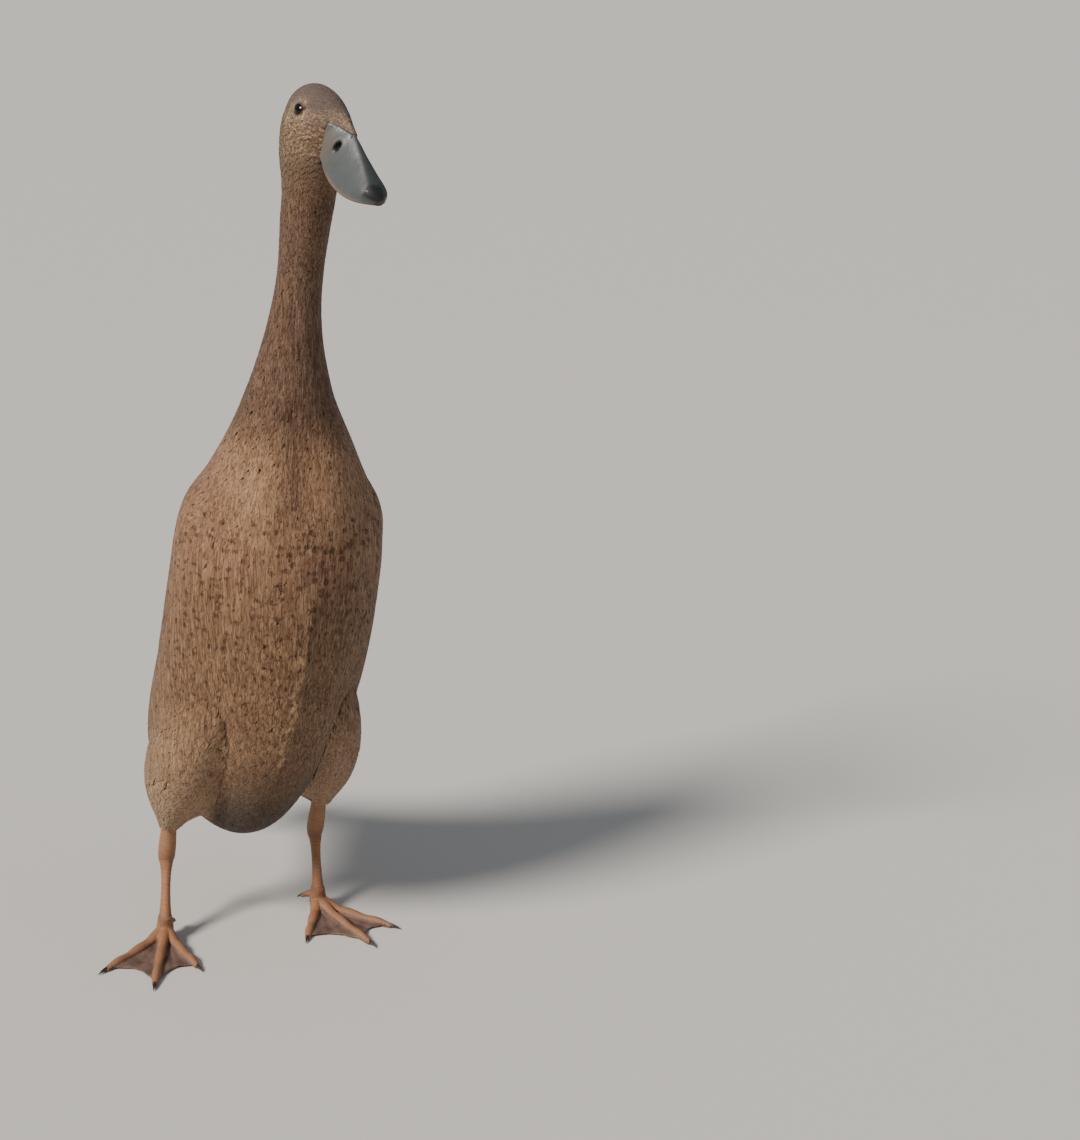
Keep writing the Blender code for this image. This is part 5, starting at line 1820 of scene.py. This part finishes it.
@dataclass
class Bill:
    """Upper and lower bill, with nostrils, nail and a fine edge."""

    duck: Duck
    rings: int = 150
    sides: int = 112
    lower_share: float = 0.84
    gap: float = 0.0003

    def build(self, finish: Finish) -> BVHTree:
        """Both halves. Returns a search tree of the lower one, for the feathers to keep clear of."""
        for name in ("upper", "lower"):
            points, faces, numbers = self.half(name == "upper")
            piece = outward(mesh_object(f"bill_{name}_horn", points, faces, numbers))
            done(piece, "bill", finish, f"bill_{name}")
        shape = bmesh.new()
        shape.from_mesh(piece.data)
        tree = BVHTree.FromBMesh(shape)
        shape.free()
        return tree

    def half(self, upper: bool) -> tuple[Array, list[Array], dict[str, Array]]:
        """Corners, faces and shares of one half."""
        spline = Spline([[*ridge, *mouth, *sizes] for ridge, mouth, *sizes in BILL])
        u = np.linspace(0, len(BILL) - 1, self.rings)
        ridge_s, ridge_z, mouth_s, mouth_z, half, deep, rounding = np.moveaxis(spline.at(u), -1, 0)
        rise = np.stack([ridge_s - mouth_s, ridge_z - mouth_z], axis=1)
        tall = np.linalg.norm(rise, axis=1)
        rise = rise / tall[:, None]
        turn = 2 * math.pi * (np.arange(self.sides) + 0.5) / self.sides
        across, high = np.cos(turn)[None], np.sin(turn)[None]
        side = np.sign(across) * np.abs(across) ** rounding[:, None]
        if upper:
            up = self.gap / 2 + tall[:, None] * np.maximum(high, 0)
            wide = half[:, None] * side
            lip = bell(high - 0.06, 0.10) * step(2.5, 4.0, u)[:, None]
            wide = wide * (1 + 0.05 * lip)
            ridge_line = bell(across, 0.35) * (high > 0)
            up = up + 0.0004 * ridge_line * step(1.5, 3.0, u)[:, None] * fall(6.5, 8.0, u)[:, None]
            hollow = bell(np.abs(across) - 0.62, 0.22) * (high > 0)
            up = up - 0.0007 * hollow * step(3.0, 4.5, u)[:, None] * fall(6.0, 8.0, u)[:, None]
        else:
            up = -self.gap / 2 - deep[:, None] * np.maximum(-high, 0)
            wide = half[:, None] * self.lower_share * side
        s = mouth_s[:, None] + rise[:, :1] * up
        z = mouth_z[:, None] + rise[:, 1:] * up
        nostril = np.zeros_like(s)
        if upper:
            # The nostril's oval is painted near-black as shade inside its opening, over a shallow hollow.
            oval = np.hypot((s - 0.1318 - 0.3 * (z - 0.5826)) / 0.0025, (z - 0.5826) / 0.0033)
            nostril = fall(0.90, 1.15, oval)
            hollow = 0.0030 * fall(0.55, 1.0, oval) - 0.00025 * bell(oval - 1.25, 0.25)
            wide = wide - np.sign(wide) * np.minimum(hollow, np.abs(wide) * 0.6)
        wide = wide - 0.0022 * step(1.5, 9.0, u)[:, None]
        grid = placed(turned(wide, s, z, 1.0))
        if upper:
            near = u < 4.5
            grid[near] = self.flush(grid[near])
        points, faces = closed_tube(grid)
        place_u = np.broadcast_to(u[:, None], s.shape)
        centre = np.abs(across) * np.ones_like(s)
        beside_tip = np.abs(across + 0.40) * np.ones_like(s)
        nail = step(7.2, 7.7, place_u + 1.1 * (0.45 - beside_tip)) * fall(0.42, 0.56, beside_tip)
        nail = np.maximum(nail * (high > -0.2), step(9.5, 9.9, place_u) * 0.6)
        ridge = np.clip(1 - step(0.15, 0.75, centre) + 0.5 * step(6.0, 8.0, place_u), 0, 1) * (high > 0)
        edge = fall(0.03, 0.12, np.abs(high)) * np.ones_like(s) * step(2.0, 3.4, place_u) * (1 - nail)
        gape = fall(0.6, 3.2, place_u) * step(0.55, 0.95, centre)
        shares = {"nail": nail, "ridge": ridge * 0.85, "edge": edge, "gape": gape, "nostril": nostril}
        if not upper:
            shares["edge"] = np.maximum(edge, 0.55 * (1 - nail))
        for key, values in shares.items():
            shares[key] = np.concatenate([values.ravel(), values[0, :1], values[-1, :1]])
        return points, faces, shares

    def flush(self, grid: Array) -> Array:
        """Lifts the root's plates flush with the head ahead of the feather line, and sinks them behind it."""
        tree = surface_tree(self.duck.body, (16.0, 20.0))
        middle = body_middle(self.duck.body, 17.5)
        ahead = step(-0.0018, -0.0008, past_feather_line(grid))
        moved = grid.copy()
        for index in np.ndindex(grid.shape[:2]):
            place, normal, height = over_surface(tree, middle, grid[index])
            target = -0.0016 + 0.0020 * ahead[index]
            if height < target or ahead[index] < 0.5 and height > target:
                moved[index] = place + normal * target
        return moved


@dataclass
class Leg:
    """One bare leg and webbed foot in one surface, with its claws."""

    side: str
    voxel: float = 0.00055
    TOE_LEVELS = (0.0, 0.14, 0.30, 0.46, 0.62, 0.78, 0.90, 1.0)
    TOE_RADII = (0.0050, 0.0046, 0.0037, 0.0039, 0.0031, 0.0033, 0.0027, 0.0020)
    TOE_DROP = (0.55, 0.34, 0.12, 0.02, 0.0, 0.0, 0.0, 0.0)
    TOE_SUNK = 0.0006
    SHANK_LEVELS = (0.0, 0.10, 0.30, 0.52, 0.66, 0.76, 0.88, 1.0)
    SHANK_WIDE = (0.0052, 0.0042, 0.0034, 0.0036, 0.0050, 0.0062, 0.0056, 0.0048)
    SHANK_DEEP = (0.0060, 0.0052, 0.0044, 0.0050, 0.0066, 0.0074, 0.0064, 0.0056)

    def build(self, finish: Finish, claw_finish: Finish) -> None:
        """The leg's surface and its claws."""
        parts = [self.shank(), self.pad()]
        lines = {toe: self.toe_line(toe) for toe in ("outer", "middle", "inner")}
        for toe, line in lines.items():
            parts.append(self.tube(line, self.toe_radii(len(line)), self.toe_way(toe)))
        parts += [self.web(lines["outer"], lines["middle"]), self.web(lines["middle"], lines["inner"])]
        start, ahead, length = self.hind()
        spots = start + ahead * length * np.linspace(-0.1, 1.0, 12)[:, None]
        sizes = np.interp(np.linspace(0, 1, 12), (0, 0.5, 1), (0.0034, 0.0026, 0.0018))
        parts.append(self.tube(spots, sizes, UP))
        leg = fused(f"leg_skin_{self.side}", parts, self.voxel, 3)
        points, numbers = self.dress(corners_of(leg.data), lines)
        leg.data.vertices.foreach_set("co", points.astype(np.float32).ravel())
        leg.data.update()
        carry(leg.data, numbers)
        done(leg, "leg", finish, f"shank_{self.side}", f"foot_{self.side}")
        for toe, line in lines.items():
            done(self.claw(toe, line[-1] + UP * 0.0004, self.toe_way(toe), 0.0080, 0.0018),
                 "claw", claw_finish, f"claw_{self.side}_{toe}")
        hind = self.claw("hind", spots[-1], ahead, 0.0046, 0.0014)
        done(hind, "claw", claw_finish, f"claw_{self.side}_hind")

    def toe_way(self, toe: str) -> Array:
        """The direction of a toe along the floor."""
        turn = math.radians(FEET[self.side]["toes"][toe][0])
        return np.array([math.sin(turn), math.cos(turn), 0.0])

    def toe_line(self, toe: str, count: int = 64) -> Array:
        """Points along a toe's middle, from the ankle down to the floor and out."""
        length = FEET[self.side]["toes"][toe][1]
        start = ankle(self.side)
        share = np.linspace(0, 1, count)
        radius = self.toe_radii(count)
        drop = np.interp(share, self.TOE_LEVELS, self.TOE_DROP)
        rest = radius - self.TOE_SUNK
        line = start + self.toe_way(toe) * (length * share)[:, None]
        line[:, 2] = rest + (start[2] - 0.003 - rest) * drop
        return line

    def toe_radii(self, count: int) -> Array:
        """A toe's radius along it, with its joints."""
        return smooth_table(np.linspace(0, 1, count), self.TOE_LEVELS, self.TOE_RADII)[0]

    def tube(self, line: Array, radii: Array, way: Array, sides: int = 20,
             deep: Array | None = None) -> Piece:
        """A closed round part along a line, in the duck's own terms."""
        ahead = unit(np.gradient(line, axis=0))
        across = np.cross(way, UP) if abs(way[2]) < 0.9 else np.array([1.0, 0, 0])
        beside = unit(across - ahead * (ahead @ across)[:, None])
        other = np.cross(ahead, beside)
        turn = round_angles(sides)
        deep = radii if deep is None else deep
        grid = (
            line[:, None]
            + beside[:, None] * (radii[:, None] * np.cos(turn))[..., None]
            + other[:, None] * (deep[:, None] * np.sin(turn))[..., None]
        )
        return outward(mesh_object("leg_part", *closed_tube(placed(grid))))

    def shank(self) -> Piece:
        """The shank, from the ankle over the hock into the thigh's feathers."""
        low, bend, top = ankle(self.side), hock(self.side), thigh_end(self.side) + UP * 0.010
        share = np.linspace(0, 1, 120)
        split = 0.72
        lower = low + (bend - low) * (share / split)[:, None]
        upper = bend + (top - bend) * ((share - split) / (1 - split))[:, None]
        blend = step(split - 0.08, split + 0.08, share)[:, None]
        line = lower * (1 - blend) + upper * blend
        wide, deep = smooth_table(share, self.SHANK_LEVELS, self.SHANK_WIDE, self.SHANK_DEEP)
        return self.tube(line, wide, UP, 28, deep)

    def pad(self) -> Piece:
        """The pad under the ankle."""
        levels = np.array([-ANKLE_HEIGHT - 0.0004, -0.0105, -0.0045, 0.000, 0.0040])
        line = ankle(self.side) + levels[:, None] * UP
        wide = np.array([0.0050, 0.0058, 0.0062, 0.0056, 0.0050])
        deep = np.array([0.0056, 0.0064, 0.0068, 0.0062, 0.0058])
        return self.tube(line, wide, UP, 24, deep)

    def web(self, one: Array, other: Array) -> Piece:
        """A thin web between two toes, its front edge curving back between them."""
        across, along = 26, 44
        share = np.linspace(0, 1, across)[None]
        scallop = 1 - 0.15 * np.sin(math.pi * share)
        place = np.linspace(0, 1, along)[:, None] * scallop * 0.945
        count = len(one)
        index = place * (count - 1)
        low = np.clip(np.floor(index).astype(int), 0, count - 2)
        t = (index - low)[..., None]
        a = one[low] * (1 - t) + one[low + 1] * t
        b = other[low] * (1 - t) + other[low + 1] * t
        top = a * (1 - share[..., None]) + b * share[..., None]
        folds = np.sin(share * math.pi * 7) * 0.00022 * np.sin(math.pi * share)
        top[..., 2] = np.maximum(top[..., 2] - 0.0012 * np.sin(math.pi * share), 0.00105) + folds
        thick = UP * 0.00125 / 2
        both = np.stack([top + thick, top - thick]).reshape(-1, 3)
        return outward(mesh_object("web_part", placed(both), [sheet_faces(along, across, 1)]))

    def hind(self) -> tuple[Array, Array, float]:
        """Start, direction and length of the small hind toe."""
        inward = -SIDES[self.side]
        start = ankle(self.side) + np.array([inward * 0.0015, -0.003, -0.0015])
        return start, unit(np.array([inward * 0.62, -0.66, -0.42])), 0.0125

    def dress(self, points: Array, lines: dict[str, Array]) -> tuple[Array, dict[str, Array]]:
        """Raises the scales and works out the web's and joints' shares.

        Args:
            points: the leg's corners in the model's frame.
            lines: the toes' middles, in the duck's own terms.

        Returns:
            The moved corners, and the shares.
        """
        near = np.full(len(points), 1.0)
        scute = np.zeros(len(points))
        for line in lines.values():
            path = placed(line)
            gap = np.linalg.norm(points[:, None, :2] - path[None, ::3, :2], axis=2)
            index = gap.argmin(1)
            here = gap.min(1) / self.toe_radii(len(path[::3]))[index]
            saw = np.mod(np.linalg.norm(points[:, :2] - path[0, :2], axis=1) / 0.0021, 1.0)
            mine = here < near
            scute = np.where(mine & (here < 0.8) & (points[:, 2] > 0.002), saw, scute)
            near = np.minimum(near, here)
        up = points[:, 2]
        shank = step(0.016, 0.021, up)
        web = (1 - shank) * step(0.86, 1.0, near) * fall(0.010, 0.0135, up)
        saw = np.mod(up / 0.0026, 1.0)
        middle = self.shank_line(up)
        front = step(-0.2, 0.3, -(points[:, 1] - middle[:, 1]) / 0.004)
        scute = np.where(shank > 0.5, saw * front, scute)
        out = unit(points - middle) * np.array([1, 1, 0.2])
        points = points + out * (0.00022 * (scute**2 - 0.3) * (shank * front))[:, None]
        points[:, 2] += 0.00016 * scute**2 * (1 - shank) * (up > 0.0025)
        points[:, 2] = np.maximum(points[:, 2], 0.0)
        joint = bell(up - HOCK_HEIGHT, 0.006) * 0.6
        joint = joint + bell(up - 0.018, 0.0035) * 0.8
        return points, {"web": web, "joint": np.clip(joint, 0, 1), "scute": scute * (1 - web)}

    def shank_line(self, up: Array) -> Array:
        """The middle of the leg at each height, in the model's frame."""
        low = ankle(self.side)
        path = np.array([[low[0], low[1], 0.0], low, hock(self.side), thigh_end(self.side)])
        left, forward = (np.interp(up, path[:, 2], path[:, k]) for k in (0, 1))
        return in_model(left, forward, up)

    def claw(self, toe: str, start: Array, way: Array, length: float, radius: float) -> Piece:
        """A hooked claw beyond a toe's end."""
        share = np.linspace(0, 1, 18)
        drop = (-0.0011 * share**2 + 0.0004 * np.sin(math.pi * share))[:, None] * UP
        line = start + way * (-0.0012 + (length + 0.0012) * share)[:, None] + drop
        radii = radius * np.maximum(1 - share**1.4, 0.06)
        line[:, 2] = np.maximum(line[:, 2], radii * 0.9)
        piece = self.tube(line, radii * 0.85, way, 18, radii)
        piece.name = piece.data.name = f"nail_{self.side}_{toe}"
        return piece


@dataclass
class Studio:
    """Floor, lights and camera."""

    camera_place: tuple[float, float, float] = (-0.38632, -1.26329, 0.700)
    camera_bearing: float = 26.0
    camera_pitch: float = 17.4
    camera_roll: float = 3.0
    lens: float = 62.24
    floor_reach: float = 120.0

    def build(self) -> None:
        """The whole studio."""
        self.floor()
        self.camera()
        key = self.light("key_light", "SUN", Vector((-0.92, -0.30, 0.74)), 4.4, (1.0, 0.93, 0.84))
        key.data.angle = math.radians(16)
        place = Vector((1.9, -1.6, 1.1))
        fill = self.light("fill_light", "AREA", place - Vector((0.0, 0.0, 0.30)), 3.0, (0.90, 0.95, 1.0))
        fill.data.size = 1.8
        fill.location = place
        world = bpy.data.worlds.new("studio")
        world.use_nodes = True
        background = world.node_tree.nodes["Background"]
        background.inputs["Color"].default_value = (0.86, 0.90, 0.96, 1.0)
        background.inputs["Strength"].default_value = 0.26
        bpy.context.scene.world = world

    def floor(self) -> None:
        """A pale floor."""
        r = self.floor_reach
        points = np.array([(-r, -r, 0), (r, -r, 0), (r, r, 0), (-r, r, 0)], float)
        floor = mesh_object("studio_floor", points, [np.array([[0, 1, 2, 3]])])
        floor.data.materials.append(FloorFinish().make("studio_floor"))

    def light(self, name: str, kind: str, away: Vector, power: float, colour: Colour) -> Piece:
        """A light that shines back along the way it lies from the duck."""
        data = bpy.data.lights.new(name, kind)
        data.energy = power
        data.color = colour
        lamp = bpy.data.objects.new(name, data)
        lamp.rotation_euler = away.to_track_quat("Z", "Y").to_euler()
        bpy.context.scene.collection.objects.link(lamp)
        return lamp

    def camera(self) -> None:
        """The camera at the photograph's viewing angle and framing."""
        angles = (self.camera_bearing, self.camera_pitch, self.camera_roll)
        bearing, pitch, roll = (math.radians(angle) for angle in angles)
        level = np.array([math.sin(bearing), math.cos(bearing), 0.0])
        ahead = level * math.cos(pitch) - UP * math.sin(pitch)
        right = np.array([math.cos(bearing), -math.sin(bearing), 0.0])
        turned_right = right * math.cos(roll) + np.cross(right, ahead) * math.sin(roll)
        turned_up = np.cross(turned_right, ahead)
        data = bpy.data.cameras.new("photo_camera")
        data.lens = self.lens
        data.sensor_width = 36.0
        data.sensor_fit = "AUTO"
        data.clip_start = 0.01
        camera = bpy.data.objects.new("photo_camera", data)
        matrix = Matrix([[*row] for row in np.stack([turned_right, turned_up, -ahead], axis=1)]).to_4x4()
        matrix.translation = Vector(self.camera_place)
        camera.matrix_world = matrix
        bpy.context.scene.collection.objects.link(camera)
        bpy.context.scene.camera = camera


def main() -> None:
    """Builds every piece in order."""
    logging.basicConfig(level=logging.INFO, format="%(message)s")
    Studio().build()
    duck = Duck()
    skin = Skin(duck)
    skin.build()
    trees = Bill(duck).build(BillFinish().make("bill_horn"))
    eye_finish, lid_finish = EyeFinish().make("eye_wet"), LidFinish().make("eyelid_rim")
    for eye in Eye.pair(duck):
        eye.build(eye_finish, lid_finish)
    leg_finish, claw_finish = LegFinish().make("leg_scales"), ClawFinish().make("claw_horn")
    for side in SIDES:
        Leg(side).build(leg_finish, claw_finish)
    BodyCoat(duck, skin, trees).build()
    SideCoat(duck).build()
    ThighCoat(duck).build()
    WingFeathers(duck).build()
    TailFeathers(duck).build()


if __name__ == "__main__":
    main()
